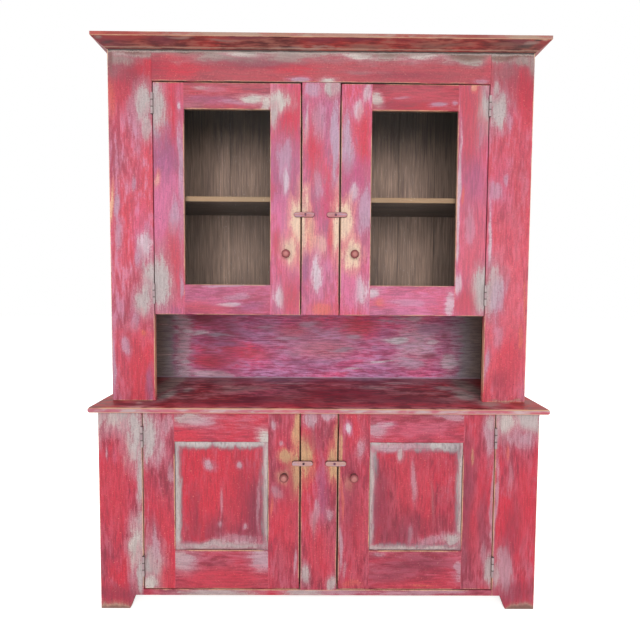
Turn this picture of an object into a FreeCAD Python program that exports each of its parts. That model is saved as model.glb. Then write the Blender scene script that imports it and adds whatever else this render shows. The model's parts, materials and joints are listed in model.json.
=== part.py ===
"""Step-back kitchen buffet: a panelled base, a glazed upper case, turned knobs and turn buttons.

X runs to the right, Y to the back and Z up. The origin is on the floor, at the middle of the
whole outline. Every size is in millimetres. Left-hand pieces are made first and mirrored.
"""
import FreeCAD, Part
import math
import os

V = FreeCAD.Vector

# Boards
board_thickness = 20.0
frame_thickness = 22.0
shelf_thickness = 19.0
shelf_setback = 18.0
back_thickness = 12.0
eased_edge = 1.8
housing_depth = 6.0
back_rabbet = 10.0
joint_clearance = 0.1
overrun = 5.0

# Base case
base_width = 1610.0
base_depth = 560.0
base_stile_width = 159.0
base_centre_width = 135.0
bottom_rail_height = 22.5
stop_lip = 8.0
base_shelf_clear = 310.0
stretcher_height = 60.0

# Bracket feet
foot_height = 51.0
foot_bottom_width = 107.0
foot_top_width = 127.0
side_foot_bottom_width = 90.0
side_foot_top_width = 110.0

# Countertop
counter_height = 762.0
counter_thickness = 20.0
counter_overhang = 28.0
counter_corner_round = 10.0
nosing_round = 8.0

# Upper case
upper_inset = 22.0
upper_setback = 84.0
upper_stile_width = 161.0
upper_centre_width = 141.0
niche_height = 328.5
upper_opening_height = 855.5
frieze_height = 111.5
niche_head_reveal = 2.0
upper_shelf_clear = 405.0

# Cornice
cornice_projection = 44.0
cornice_rise = 31.5
cornice_fillet = 12.5
cornice_board = 18.0
case_head_lap = 26.0

# Doors
door_thickness = 20.0
door_recess = 1.0
hinge_side_gap = 2.5
latch_side_gap = 4.5
door_end_gap = 3.0
sight_bevel = 2.0
upper_door_stile = 113.0
upper_door_top_rail = 95.0
upper_door_bottom_rail = 113.0
lower_door_stile = 114.5
lower_door_top_rail = 108.5
lower_door_bottom_rail = 146.0
tenon_length = 40.0
tenon_shoulder = 14.0
groove_width = 7.0
groove_setback = 6.5
groove_depth = 10.0

# Fielded panels
panel_float = 1.5
panel_quirk = 3.0
panel_bevel = 20.0
panel_step = 1.5
field_recess = 1.5
panel_play = 0.2

# Glazing
rabbet_width = 9.0
rabbet_setback = 8.0
glass_thickness = 3.0
glass_edge_clearance = 1.5
bead_chamfer = 4.0

# Knobs, with their heights above the foot of the door
knob_radius = 16.0
knob_sides = 24
knob_dome_steps = 4
knob_crown_radius = 3.0
knob_reach = 29.0
knob_base_radius = 12.5
knob_base_height = 3.0
knob_neck_radius = 7.5
knob_neck_height = 9.5
knob_widest_height = 18.5
knob_tenon_radius = 5.0
knob_tenon_length = 18.0
knob_from_centre = 127.8
upper_knob_rise = 229.5
lower_knob_rise = 427.0

# Turn buttons, with their heights above the foot of the door
button_width = 19.0
button_thickness = 9.0
button_latch_arm = 43.0
button_short_arm = 34.0
button_ease = 2.0
button_end_flats = 8
button_standoff = 0.3
button_from_centre = 56.5
upper_button_rise = 374.5
lower_button_rise = 477.5

# Button screws
screw_radius = 2.25
screw_head_radius = 4.5
screw_head_depth = 2.6
screw_bite = 16.0
screw_slot_width = 1.0
screw_slot_depth = 1.0
running_clearance = 0.06

# Butt hinges
hinge_height = 76.0
hinge_leaf_depth = 19.0
hinge_leaf_thickness = 2.0
hinge_leaf_gap = 1.5
knuckle_radius = 5.0
knuckle_sides = 12
knuckle_count = 3
knuckle_gap = 0.4
barrel_standoff = 0.4
pin_radius = 2.5
upper_hinge_inset = 78.0
lower_hinge_inset = 89.0

# Tongued and grooved back boards
tongue_length = 5.0
tongue_thickness = 4.0
board_seam = 1.2
tongue_play = 0.2
base_board_shares = (0.0, 0.13, 0.25, 0.38, 0.5, 0.63, 0.75, 0.87, 1.0)
upper_board_shares = (0.0, 0.09, 0.234, 0.365, 0.49, 0.61, 0.734, 0.842, 1.0)
niche_board_shares = (0.0, 0.52, 1.0)

# Places across the width
base_half = base_width / 2
upper_half = base_half - upper_inset
base_opening_x = base_half - base_stile_width
upper_opening_x = upper_half - upper_stile_width
base_inner_x = base_half - board_thickness
upper_inner_x = upper_half - board_thickness

# Places from front to back
front_reach = max(counter_overhang, knob_reach - door_recess)
overall_depth = base_depth + front_reach
back_y = overall_depth / 2
base_face_y = front_reach - overall_depth / 2
upper_face_y = base_face_y + upper_setback
boards_y = back_y - back_thickness

# Heights
base_top = counter_height - counter_thickness
rail_top = foot_height + bottom_rail_height
base_floor_top = rail_top + stop_lip
base_floor_bottom = base_floor_top - board_thickness
base_shelf_bottom = base_floor_top + base_shelf_clear
niche_head = counter_height + niche_height
upper_floor_bottom = niche_head + niche_head_reveal
upper_floor_top = upper_floor_bottom + board_thickness
upper_shelf_bottom = upper_floor_top + upper_shelf_clear
frieze_bottom = niche_head + upper_opening_height
cornice_bottom = frieze_bottom + frieze_height
case_head = cornice_bottom + case_head_lap
top_board_bottom = case_head - board_thickness
cornice_top = cornice_bottom + cornice_rise + cornice_fillet
board_joint_z = (upper_floor_bottom + upper_floor_top) / 2

# Hinge pins
pin_offset = knuckle_radius + barrel_standoff
leaf_inner = hinge_leaf_gap / 2
leaf_outer = leaf_inner + hinge_leaf_thickness


class Door:
    """Places of one left-hand door: its edges, its rails' inner edges and its hardware."""

    def __init__(self, name, opening_x, centre_width, face_y, bottom, top, stile, rails, inset, rises):
        self.name = name
        self.opening_x = opening_x
        self.case_y = face_y
        self.face_y = face_y + door_recess
        self.back_y = self.face_y + door_thickness
        self.hinge_x = -(opening_x - hinge_side_gap)
        self.latch_x = -(centre_width / 2 + latch_side_gap)
        self.bottom = bottom
        self.top = top
        self.stile = stile
        self.sight_x = (self.hinge_x + stile, self.latch_x - stile)
        self.sight_z = (bottom + rails[0], top - rails[1])
        self.pin_x = -(opening_x - hinge_side_gap / 2)
        self.pin_y = face_y - pin_offset
        self.hinge_z = (bottom + inset, top - inset)
        self.knob_z = bottom + rises[0]
        self.button_z = bottom + rises[1]


upper_door = Door("upper", upper_opening_x, upper_centre_width, upper_face_y, niche_head,
                  frieze_bottom - door_end_gap, upper_door_stile,
                  (upper_door_bottom_rail, upper_door_top_rail), upper_hinge_inset,
                  (upper_knob_rise, upper_button_rise))
lower_door = Door("lower", base_opening_x, base_centre_width, base_face_y, rail_top + door_end_gap,
                  base_top - door_end_gap, lower_door_stile,
                  (lower_door_bottom_rail, lower_door_top_rail), lower_hinge_inset,
                  (lower_knob_rise, lower_button_rise))
doors = (upper_door, lower_door)


# Shape helpers

def block(x, y, z):
    """A box between two places on each axis."""
    size = (x[1] - x[0], y[1] - y[0], z[1] - z[0])
    return Part.makeBox(size[0], size[1], size[2], V(x[0], y[0], z[0]))


def face_of(points):
    return Part.Face(Part.makePolygon(points + [points[0]]))


def along_x(outline, x):
    """Extrude a (y, z) outline between two places on X."""
    return face_of([V(x[0], y, z) for y, z in outline]).extrude(V(x[1] - x[0], 0, 0))


def along_y(outline, y):
    """Extrude an (x, z) outline between two places on Y."""
    return face_of([V(x, y[0], z) for x, z in outline]).extrude(V(0, y[1] - y[0], 0))


def along_z(outline, z):
    """Extrude an (x, y) outline between two places on Z."""
    return face_of([V(x, y, z[0]) for x, y in outline]).extrude(V(0, 0, z[1] - z[0]))


def mirrored(shape):
    return shape.mirror(V(0, 0, 0), V(1, 0, 0))


def spans(shares, low, high):
    """Neighbouring places at the given shares of the way from low to high."""
    places = [low + share * (high - low) for share in shares]
    return list(zip(places[:-1], places[1:]))


def on_plane(edge, axis, place):
    return all(abs(getattr(vertex.Point, axis) - place) < joint_clearance for vertex in edge.Vertexes)


def upright(edge):
    return on_plane(edge, "x", edge.Vertexes[0].Point.x)


def rounded(solid, radius, wanted):
    """Round the edges that the test picks."""
    return solid.makeFillet(radius, [edge for edge in solid.Edges if wanted(edge)])


def eased(solid, wanted, size=eased_edge):
    """Take the sharpness off the edges that the test picks."""
    return solid.makeChamfer(size, [edge for edge in solid.Edges if wanted(edge)])


def in_flats(rings):
    """A solid with flat faces between neighbouring rings of corners and over both ends."""
    faces = [face_of(rings[0]), face_of(rings[-1])]
    for low, high in zip(rings[:-1], rings[1:]):
        faces += [face_of([low[i - 1], low[i], high[i], high[i - 1]]) for i in range(len(low))]
    solid = Part.makeSolid(Part.makeShell(faces))
    return solid if solid.Volume > 0 else solid.reversed()


def sight_frustum(x, z, face_y):
    """The cutter that bevels the face edges all round an opening."""
    wires = []
    for grow in (sight_bevel, 0.0):
        y = face_y + sight_bevel - grow
        corners = [V(x[0] - grow, y, z[0] - grow), V(x[1] + grow, y, z[0] - grow),
                   V(x[1] + grow, y, z[1] + grow), V(x[0] - grow, y, z[1] + grow)]
        wires.append(Part.makePolygon(corners + [corners[0]]))
    return Part.makeLoft(wires, True, True)


def save(name, *solids):
    """Write one sub-part. Several solids share a file where they are alike."""
    for solid in solids:
        if not solid.isValid() or len(solid.Solids) != 1:
            raise ValueError(name + " is not one sound solid")
    shape = solids[0].Solids[0] if len(solids) == 1 else Part.makeCompound([s.Solids[0] for s in solids])
    shape.exportStep(os.path.join("parts", name + ".step"))


def save_pair(pattern, *solids):
    """Write a left-hand sub-part and its mirror image."""
    save(pattern.format("left"), *solids)
    save(pattern.format("right"), *[mirrored(solid) for solid in solids])


# Cases

def notched_side(half_width, y, z, foot):
    """A case side with its back rabbet, and with feet cut in its lower edge where asked."""
    feet = []
    if foot:
        feet = [(y[0] + side_foot_bottom_width, z[0]), (y[0] + side_foot_top_width, foot_height),
                (y[1] - side_foot_top_width, foot_height), (y[1] - side_foot_bottom_width, z[0])]
    outline = [(y[0], z[0])] + feet + [(y[1], z[0]), (y[1], z[1]), (y[0], z[1])]
    inner = -half_width + board_thickness
    side = along_x(outline, (-half_width, inner))
    rabbet_y = (boards_y, y[1] + overrun)
    rabbet_z = (z[0] - overrun, z[1] + overrun)
    return side.cut(block((inner - back_rabbet, inner + overrun), rabbet_y, rabbet_z))


def housed(side, half_width, y, z):
    """Cut the housing that one board's end sits in."""
    inner = -half_width + board_thickness
    return side.cut(block((inner - housing_depth, inner + overrun), y, z))


def crossing_board(half_width, y, z):
    """A board that spans a case, with its ends in the housings."""
    reach = half_width - board_thickness + housing_depth - joint_clearance
    return block((-reach, reach), y, z)


def base_case():
    back_of_frame = base_face_y + frame_thickness
    shelf_y = (back_of_frame + shelf_setback, boards_y)
    shelf_z = (base_shelf_bottom, base_shelf_bottom + shelf_thickness)
    floor_y = (back_of_frame, boards_y)
    floor_z = (base_floor_bottom, base_floor_top)

    side = notched_side(base_half, (back_of_frame, back_y), (0.0, base_top), True)
    side = housed(side, base_half, shelf_y, shelf_z)
    side = housed(side, base_half, floor_y, floor_z)
    save_pair("lower_side_{}", side)

    save("lower_bottom_board", crossing_board(base_half, floor_y, floor_z))
    shelf = crossing_board(base_half, shelf_y, shelf_z)
    save("lower_shelf", eased(shelf, lambda e: on_plane(e, "y", shelf_y[0]) and not upright(e)))

    stretcher_y = (back_of_frame, back_of_frame + board_thickness)
    save("lower_top_stretcher",
         block((-base_inner_x, base_inner_x), stretcher_y, (base_top - stretcher_height, base_top)))


def base_frame():
    y = (base_face_y, base_face_y + frame_thickness)
    foot_x = (-base_half, -base_half + foot_bottom_width, -base_half + foot_top_width)
    outline = [(foot_x[0], 0.0), (foot_x[1], 0.0), (foot_x[2], foot_height),
               (-base_opening_x, foot_height), (-base_opening_x, base_top), (foot_x[0], base_top)]
    stile = along_y(outline, y)
    stile = eased(stile, lambda e: on_plane(e, "y", y[0]) and not on_plane(e, "z", base_top))
    save_pair("lower_stile_{}", stile.cut(leaf_mortise(lower_door, -1)))

    half = base_centre_width / 2
    centre = block((-half, half), y, (rail_top, base_top))
    centre = eased(centre, lambda e: on_plane(e, "y", y[0]) and upright(e))
    save("lower_centre_stile", bored_for_screws(centre, lower_door))

    rail = block((-base_opening_x, base_opening_x), y, (foot_height, rail_top))
    save("lower_bottom_rail", eased(rail, lambda e: on_plane(e, "y", y[0]) and not upright(e)))


def upper_case():
    back_of_frame = upper_face_y + frame_thickness
    depth = (back_of_frame, boards_y)
    shelf_y = (back_of_frame + shelf_setback, boards_y)
    shelf_z = (upper_shelf_bottom, upper_shelf_bottom + shelf_thickness)
    floor_z = (upper_floor_bottom, upper_floor_top)
    top_z = (top_board_bottom, case_head)

    side = notched_side(upper_half, (back_of_frame, back_y), (counter_height, case_head), False)
    for y, z in ((depth, floor_z), (shelf_y, shelf_z), (depth, top_z)):
        side = housed(side, upper_half, y, z)
    save_pair("upper_side_{}", side)

    save("upper_bottom_board", crossing_board(upper_half, depth, floor_z))
    save("upper_top_board", crossing_board(upper_half, depth, top_z))
    shelf = crossing_board(upper_half, shelf_y, shelf_z)
    save("upper_shelf", eased(shelf, lambda e: on_plane(e, "y", shelf_y[0]) and not upright(e)))


def upper_frame():
    y = (upper_face_y, upper_face_y + frame_thickness)
    stile = block((-upper_half, -upper_opening_x), y, (counter_height, case_head))
    stile = eased(stile, lambda e: on_plane(e, "y", y[0]) and not on_plane(e, "z", case_head))
    save_pair("upper_stile_{}", stile.cut(leaf_mortise(upper_door, -1)))

    half = upper_centre_width / 2
    centre = block((-half, half), y, (niche_head, frieze_bottom))
    centre = eased(centre, lambda e: on_plane(e, "y", y[0]) and not on_plane(e, "z", frieze_bottom))
    save("upper_centre_stile", bored_for_screws(centre, upper_door))

    frieze = block((-upper_opening_x, upper_opening_x), y, (frieze_bottom, case_head))
    save("frieze_rail", eased(frieze, lambda e: on_plane(e, "y", y[0]) and on_plane(e, "z", frieze_bottom)))


def countertop():
    x = base_half + counter_overhang
    y = (base_face_y - counter_overhang, back_y)
    top = block((-x, x), y, (base_top, counter_height))
    top = rounded(top, counter_corner_round, lambda e: on_plane(e, "y", y[0]) and upright(e))
    level = (base_top, counter_height)
    nosed = rounded(top, nosing_round,
                    lambda e: any(on_plane(e, "z", z) for z in level) and not on_plane(e, "y", back_y))
    save("countertop", nosed)


# Back boards

def tongue_outline(low, high, first, last):
    """Outline of one back board across its width, in (along, depth), with its tongue and groove."""
    seam = board_seam / 2
    left = low if first else low + seam
    right = high if last else high - seam
    mid = (boards_y + back_y) / 2
    tongue = tongue_thickness / 2
    slot = tongue + tongue_play
    outline = [(left, boards_y), (right, boards_y)]
    if not last:
        tip = right + tongue_length
        outline += [(right, mid - tongue), (tip, mid - tongue), (tip, mid + tongue), (right, mid + tongue)]
    outline += [(right, back_y), (left, back_y)]
    if not first:
        root = left + tongue_length
        outline += [(left, mid + slot), (root, mid + slot), (root, mid - slot), (left, mid - slot)]
    return outline


def back_boards(shares, low, high, shape):
    """A row of boards, made by the given function from each board's outline."""
    places = spans(shares, low, high)
    last = len(places) - 1
    return [shape(tongue_outline(a, b, i == 0, i == last)) for i, (a, b) in enumerate(places)]


def backs():
    base_reach = base_inner_x + back_rabbet
    upper_reach = upper_inner_x + back_rabbet
    upper_x = (-upper_reach, upper_reach)
    save("lower_back_boards", *back_boards(base_board_shares, -base_reach, base_reach,
                                           lambda o: along_z(o, (base_floor_bottom, base_top))))
    save("upper_back_boards", *back_boards(upper_board_shares, *upper_x,
                                           lambda o: along_z(o, (board_joint_z, case_head))))
    save("niche_back_boards", *back_boards(niche_board_shares, counter_height, board_joint_z,
                                           lambda o: along_x([(y, z) for z, y in o], upper_x)))


# Cornice

def cornice():
    """A sloped board with a plumb-cut front fillet, mitred at both corners."""
    slope = cornice_rise / cornice_projection
    thickness = cornice_board * math.sqrt(1 + slope * slope)
    height = cornice_rise + cornice_fillet
    section = [(0.0, 0.0), (cornice_projection, cornice_rise), (cornice_projection, height),
               ((height - thickness) / slope, height), (0.0, thickness)]
    out_x = upper_half + cornice_projection
    out_y = upper_face_y - cornice_projection
    z = (cornice_bottom - overrun, cornice_top + overrun)

    front = along_x([(upper_face_y - out, cornice_bottom + up) for out, up in section], (-out_x, out_x))
    front_plan = [(-out_x, out_y), (out_x, out_y), (upper_half, upper_face_y), (-upper_half, upper_face_y)]
    save("cornice_front", front.common(along_z(front_plan, z)))

    side = along_y([(-upper_half - out, cornice_bottom + up) for out, up in section], (out_y, back_y))
    side_plan = [(-out_x, out_y), (-upper_half, upper_face_y), (-upper_half, back_y), (-out_x, back_y)]
    side = side.common(along_z(side_plan, z))
    save("cornice_returns", side, mirrored(side))


# Doors

def tenon(door, x, z):
    """A tenon between two places on X, shouldered above and below."""
    front = door.face_y + groove_setback
    y = (front + joint_clearance, front + groove_width - joint_clearance)
    return block(x, y, (z[0] + tenon_shoulder, z[1] - tenon_shoulder))


def mortise(door, x, z):
    y = (door.face_y + groove_setback, door.face_y + groove_setback + groove_width)
    height = (z[0] + tenon_shoulder - joint_clearance, z[1] - tenon_shoulder + joint_clearance)
    return block(x, y, height)


def rail_heights(door):
    return (door.bottom, door.sight_z[0]), (door.sight_z[1], door.top)


def inner_cut(door):
    """What the glass or the panel takes out of the stiles and rails round it."""
    x, z = door.sight_x, door.sight_z
    if door is upper_door:
        grow = rabbet_width
        y = (door.face_y + rabbet_setback, door.back_y + overrun)
    else:
        grow = groove_depth
        y = (door.face_y + groove_setback, door.face_y + groove_setback + groove_width)
    cutter = block((x[0] - grow, x[1] + grow), y, (z[0] - grow, z[1] + grow))
    return cutter.fuse(sight_frustum(x, z, door.face_y))


def door_stile(door, x, outer_x):
    """One stile with its mortises, inner cut and eased outer face edges."""
    stile = block(x, (door.face_y, door.back_y), (door.bottom, door.top))
    inner_x = x[0] + x[1] - outer_x
    stile = eased(stile, lambda e: on_plane(e, "y", door.face_y) and not on_plane(e, "x", inner_x))
    towards = 1 if outer_x > inner_x else -1
    depth = tenon_length + joint_clearance
    reach = sorted((inner_x - towards * overrun, inner_x + towards * depth))
    for z in rail_heights(door):
        stile = stile.cut(mortise(door, reach, z))
    return stile.cut(inner_cut(door))


def door_rail(door, z, outer_z):
    """One rail with its two tenons."""
    x = door.sight_x
    rail = block(x, (door.face_y, door.back_y), z)
    rail = eased(rail, lambda e: on_plane(e, "y", door.face_y) and on_plane(e, "z", outer_z))
    rail = rail.cut(inner_cut(door))
    tenons = tenon(door, (x[0] - tenon_length, x[1] + tenon_length), z)
    return rail.fuse(tenons).removeSplitter()


def door_frame(door):
    hinge_x = (door.hinge_x, door.sight_x[0])
    latch_x = (door.sight_x[1], door.latch_x)
    name = door.name + "_{}_door_"
    hinge_stile = door_stile(door, hinge_x, door.hinge_x).cut(leaf_mortise(door, 1))
    save_pair(name + "hinge_stile", hinge_stile)
    hole = cylinder_y(-knob_from_centre, door.knob_z, knob_tenon_radius + running_clearance,
                      (door.face_y - overrun, door.face_y + knob_tenon_length + joint_clearance))
    save_pair(name + "latch_stile", door_stile(door, latch_x, door.latch_x).cut(hole))
    lower, upper = rail_heights(door)
    save_pair(name + "bottom_rail", door_rail(door, lower, door.bottom))
    save_pair(name + "top_rail", door_rail(door, upper, door.top))


def shrunk_rectangle(door, shrink, y):
    x, z = door.sight_x, door.sight_z
    corners = [V(x[0] + shrink, y, z[0] + shrink), V(x[1] - shrink, y, z[0] + shrink),
               V(x[1] - shrink, y, z[1] - shrink), V(x[0] + shrink, y, z[1] - shrink)]
    return Part.makePolygon(corners + [corners[0]])


def slab(door, shrink, y):
    """A rectangle inside the sight lines, given a thickness between two places on Y."""
    return Part.Face(shrunk_rectangle(door, shrink, y[0])).extrude(V(0, y[1] - y[0], 0))


def fielded_panel(door):
    """A loose panel: tongue all round, quirk, sloping bevel, step and flat field."""
    tongue_front = door.face_y + groove_setback + panel_play
    tongue_back = door.face_y + groove_setback + groove_width - panel_play
    field_y = door.face_y + field_recess
    step_y = field_y + panel_step
    field_in = panel_quirk + panel_bevel
    tongue = slab(door, panel_float - groove_depth, (tongue_front, tongue_back))
    bevel = Part.makeLoft([shrunk_rectangle(door, panel_quirk, tongue_front),
                           shrunk_rectangle(door, field_in, step_y)], True, True)
    field = slab(door, field_in, (field_y, step_y))
    save_pair("lower_{}_door_panel", tongue.fuse([bevel, field]).removeSplitter())


def glazing(door):
    """The pane and the four beads that hold it in its rabbet."""
    glass_y = door.face_y + rabbet_setback
    bead_y = glass_y + glass_thickness
    save_pair("upper_{}_door_glass", slab(door, glass_edge_clearance - rabbet_width, (glass_y, bead_y)))

    x, z = door.sight_x, door.sight_z
    section = [(0.0, bead_y), (rabbet_width, bead_y), (rabbet_width, door.back_y - bead_chamfer),
               (rabbet_width - bead_chamfer, door.back_y), (0.0, door.back_y)]
    full_x = (x[0] - rabbet_width, x[1] + rabbet_width)
    full_z = (z[0] - rabbet_width, z[1] + rabbet_width)
    beads = [along_x([(y, full_z[0] + up) for up, y in section], full_x),
             along_x([(y, full_z[1] - up) for up, y in section], full_x),
             along_z([(full_x[0] + out, y) for out, y in section], z),
             along_z([(full_x[1] - out, y) for out, y in section], z)]
    save_pair("upper_{}_door_beads", *beads)


# Hardware

def cylinder_y(x, z, radius, y):
    return Part.makeCylinder(radius, y[1] - y[0], V(x, y[0], z), V(0, 1, 0))


def ring(radius, x, y, z):
    """A level ring of corners about a knob's axis."""
    turns = [2 * math.pi * side / knob_sides for side in range(knob_sides)]
    return [V(x + radius * math.cos(turn), y, z + radius * math.sin(turn)) for turn in turns]


def knob(door):
    """A turned knob, its rounds in fine flats: tenon, base, narrow neck, flared underside and dome."""
    profile = [(knob_tenon_radius, -knob_tenon_length), (knob_tenon_radius, 0.0),
               (knob_base_radius, 0.0), (knob_base_radius, knob_base_height),
               (knob_neck_radius, knob_neck_height)]
    dome_height = knob_reach - knob_widest_height
    for step in range(knob_dome_steps):
        turn = math.pi / 2 * step / knob_dome_steps
        profile.append((knob_radius * math.cos(turn), knob_widest_height + dome_height * math.sin(turn)))
    profile.append((knob_crown_radius, knob_reach))
    rings = [ring(radius, -knob_from_centre, door.face_y - reach, door.knob_z) for radius, reach in profile]
    save_pair(door.name + "_{}_knob", in_flats(rings))


def screw_places(door):
    return [(side * button_from_centre, door.button_z) for side in (-1, 1)]


def bored_for_screws(centre, door):
    """Bore the centre stile for the two button screws."""
    y = (door.case_y - overrun, door.case_y + screw_bite + joint_clearance)
    for x, z in screw_places(door):
        centre = centre.cut(cylinder_y(x, z, screw_radius + running_clearance, y))
    return centre


def button_faces(door):
    back = door.case_y - button_standoff
    return back - button_thickness, back


def head_cone(x, z, front_y, extra):
    """A countersunk head, or its seat where it is given extra radius."""
    wide, narrow = screw_head_radius + extra, screw_radius + extra
    return Part.makeCone(wide, narrow, screw_head_depth, V(x, front_y, z), V(0, 1, 0))


def bar_outline(arm_ends, z, radius, y):
    """The outline of a round-ended bar, with each end in a few flats."""
    points = []
    for end, start in ((arm_ends[1], -math.pi / 2), (arm_ends[0], math.pi / 2)):
        for step in range(button_end_flats + 1):
            turn = start + math.pi * step / button_end_flats
            points.append(V(end + radius * math.cos(turn), y, z + radius * math.sin(turn)))
    return points


def turn_button(door):
    """A round-ended bar that turns about its screw and reaches over the edge of the door."""
    front, back = button_faces(door)
    half = button_width / 2
    x = -button_from_centre
    arm_ends = (x - button_latch_arm + half, x + button_short_arm - half)
    levels = ((back, half), (front + button_ease, half), (front, half - button_ease))
    bar = in_flats([bar_outline(arm_ends, door.button_z, radius, y) for y, radius in levels])
    hole = cylinder_y(x, door.button_z, screw_radius + running_clearance, (front - overrun, back + overrun))
    seat = head_cone(x, door.button_z, front, running_clearance)
    save_pair(door.name + "_{}_turn_button", bar.cut(hole).cut(seat))


def button_screws():
    """Four slotted countersunk screws, one through each turn button."""
    screws = []
    for door in doors:
        front, back = button_faces(door)
        for x, z in screw_places(door):
            shank = cylinder_y(x, z, screw_radius, (front + screw_head_depth, door.case_y + screw_bite))
            screw = shank.fuse(head_cone(x, z, front, 0.0)).removeSplitter()
            half = screw_slot_width / 2
            slot_x = (x - screw_head_radius, x + screw_head_radius)
            slot_y = (front - overrun, front + screw_slot_depth)
            screws.append(screw.cut(block(slot_x, slot_y, (z - half, z + half))))
    save("turn_button_screws", *screws)


def knuckle_spans(z):
    """The heights of the knuckles of one hinge, from the bottom up."""
    pitch = hinge_height / knuckle_count
    low = z - hinge_height / 2
    gap = knuckle_gap / 2
    return [(low + i * pitch + gap, low + (i + 1) * pitch - gap) for i in range(knuckle_count)]


def knuckle(door, z):
    """One knuckle: a bar with many flats, which stands on the plane of the pin."""
    corners = []
    for side in range(knuckle_sides):
        turn = 2 * math.pi * side / knuckle_sides
        along, ahead = knuckle_radius * math.cos(turn), knuckle_radius * math.sin(turn)
        corners.append((door.pin_x + along, door.pin_y + ahead))
    return along_z(corners, z)


def pin(door, z, radius):
    return Part.makeCylinder(radius, z[1] - z[0], V(door.pin_x, door.pin_y, z[0]), V(0, 0, 1))


def hinge_leaf(door, z, side):
    """One leaf with its knuckles: side is -1 for the frame's, which holds the pin, and 1 for the door's."""
    x = sorted((door.pin_x + side * leaf_inner, door.pin_x + side * leaf_outer))
    clear_y = door.pin_y + knuckle_radius + knuckle_gap
    height = (z - hinge_height / 2, z + hinge_height / 2)
    leaf = block(x, (clear_y, door.case_y + hinge_leaf_depth), height)
    own = knuckle_spans(z)[0::2] if side < 0 else knuckle_spans(z)[1::2]
    for span in own:
        leaf = leaf.fuse([knuckle(door, span), block(x, (door.pin_y, clear_y), span)])
    if side < 0:
        between = (own[0][0], own[-1][1])
        return leaf.fuse(pin(door, between, pin_radius)).removeSplitter()
    return leaf.removeSplitter().cut(pin(door, height, pin_radius + running_clearance))


def leaf_mortise(door, side):
    """The two shallow pockets that the leaves of one door's hinges are let into."""
    x = sorted((door.pin_x, door.pin_x + side * leaf_outer))
    y = (door.case_y - overrun, door.case_y + hinge_leaf_depth)
    low, high = [block(x, y, (z - hinge_height / 2, z + hinge_height / 2)) for z in door.hinge_z]
    return low.fuse(high)


def hinges():
    frame_leaves = []
    for door in doors:
        save_pair(door.name + "_{}_door_hinge_leaves", *[hinge_leaf(door, z, 1) for z in door.hinge_z])
        frame_leaves += [hinge_leaf(door, z, -1) for z in door.hinge_z]
    save("hinge_frame_leaves", *frame_leaves, *[mirrored(leaf) for leaf in frame_leaves])


def main():
    os.makedirs("parts", exist_ok=True)
    base_case()
    base_frame()
    countertop()
    upper_case()
    upper_frame()
    backs()
    cornice()
    for door in doors:
        door_frame(door)
        knob(door)
        turn_button(door)
    fielded_panel(lower_door)
    glazing(upper_door)
    button_screws()
    hinges()


main()
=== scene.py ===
import json
import math
import random

import bmesh
import bpy
from mathutils import Matrix, Vector


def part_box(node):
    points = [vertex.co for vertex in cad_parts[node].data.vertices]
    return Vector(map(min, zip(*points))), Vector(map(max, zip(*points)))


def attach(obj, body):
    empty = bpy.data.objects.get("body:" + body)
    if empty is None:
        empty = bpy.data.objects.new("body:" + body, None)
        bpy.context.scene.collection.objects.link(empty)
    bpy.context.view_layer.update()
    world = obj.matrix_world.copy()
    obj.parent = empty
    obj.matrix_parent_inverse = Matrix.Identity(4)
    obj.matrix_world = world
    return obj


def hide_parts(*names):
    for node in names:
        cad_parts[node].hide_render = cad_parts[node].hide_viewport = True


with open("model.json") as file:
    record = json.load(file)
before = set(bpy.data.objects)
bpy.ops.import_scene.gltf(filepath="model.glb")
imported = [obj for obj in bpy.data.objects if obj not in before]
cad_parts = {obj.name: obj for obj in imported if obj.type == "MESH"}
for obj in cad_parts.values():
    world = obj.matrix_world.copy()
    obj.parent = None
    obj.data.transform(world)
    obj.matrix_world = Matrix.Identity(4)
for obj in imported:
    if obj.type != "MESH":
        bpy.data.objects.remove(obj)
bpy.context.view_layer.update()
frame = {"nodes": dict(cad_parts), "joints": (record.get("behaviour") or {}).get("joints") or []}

nodes = frame["nodes"]

# Camera, from the photograph's perspective
camera_place = Vector((-0.0154, -2.093, 1.2239))
camera_pitch_down = 0.0579
camera_yaw_right = 0.007
camera_roll = 0.0068
sensor_width = 36.0
lens_length = 28.618
lens_shift = (0.00095, -0.0168)
near_clip = 0.01

# Light
sky_strength = 0.27
lamp_size = 2.8
key_power = 164.0
key_place = (0.0, -5.4, 2.25)
key_aim = (0.0, 0.0, 1.15)
fill_power = 120.0
fill_aim = (0.0, 0.1, 1.0)
fill_places = {"left": (-5.2, 0.7, 2.0), "right": (5.2, 0.7, 2.0), "back": (0.0, 5.2, 2.4)}
floor_reach = 14.0
floor_colour = (0.8, 0.8, 0.8, 1.0)
floor_lift = 0.8
white = (1.0, 1.0, 1.0, 1.0)

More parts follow.
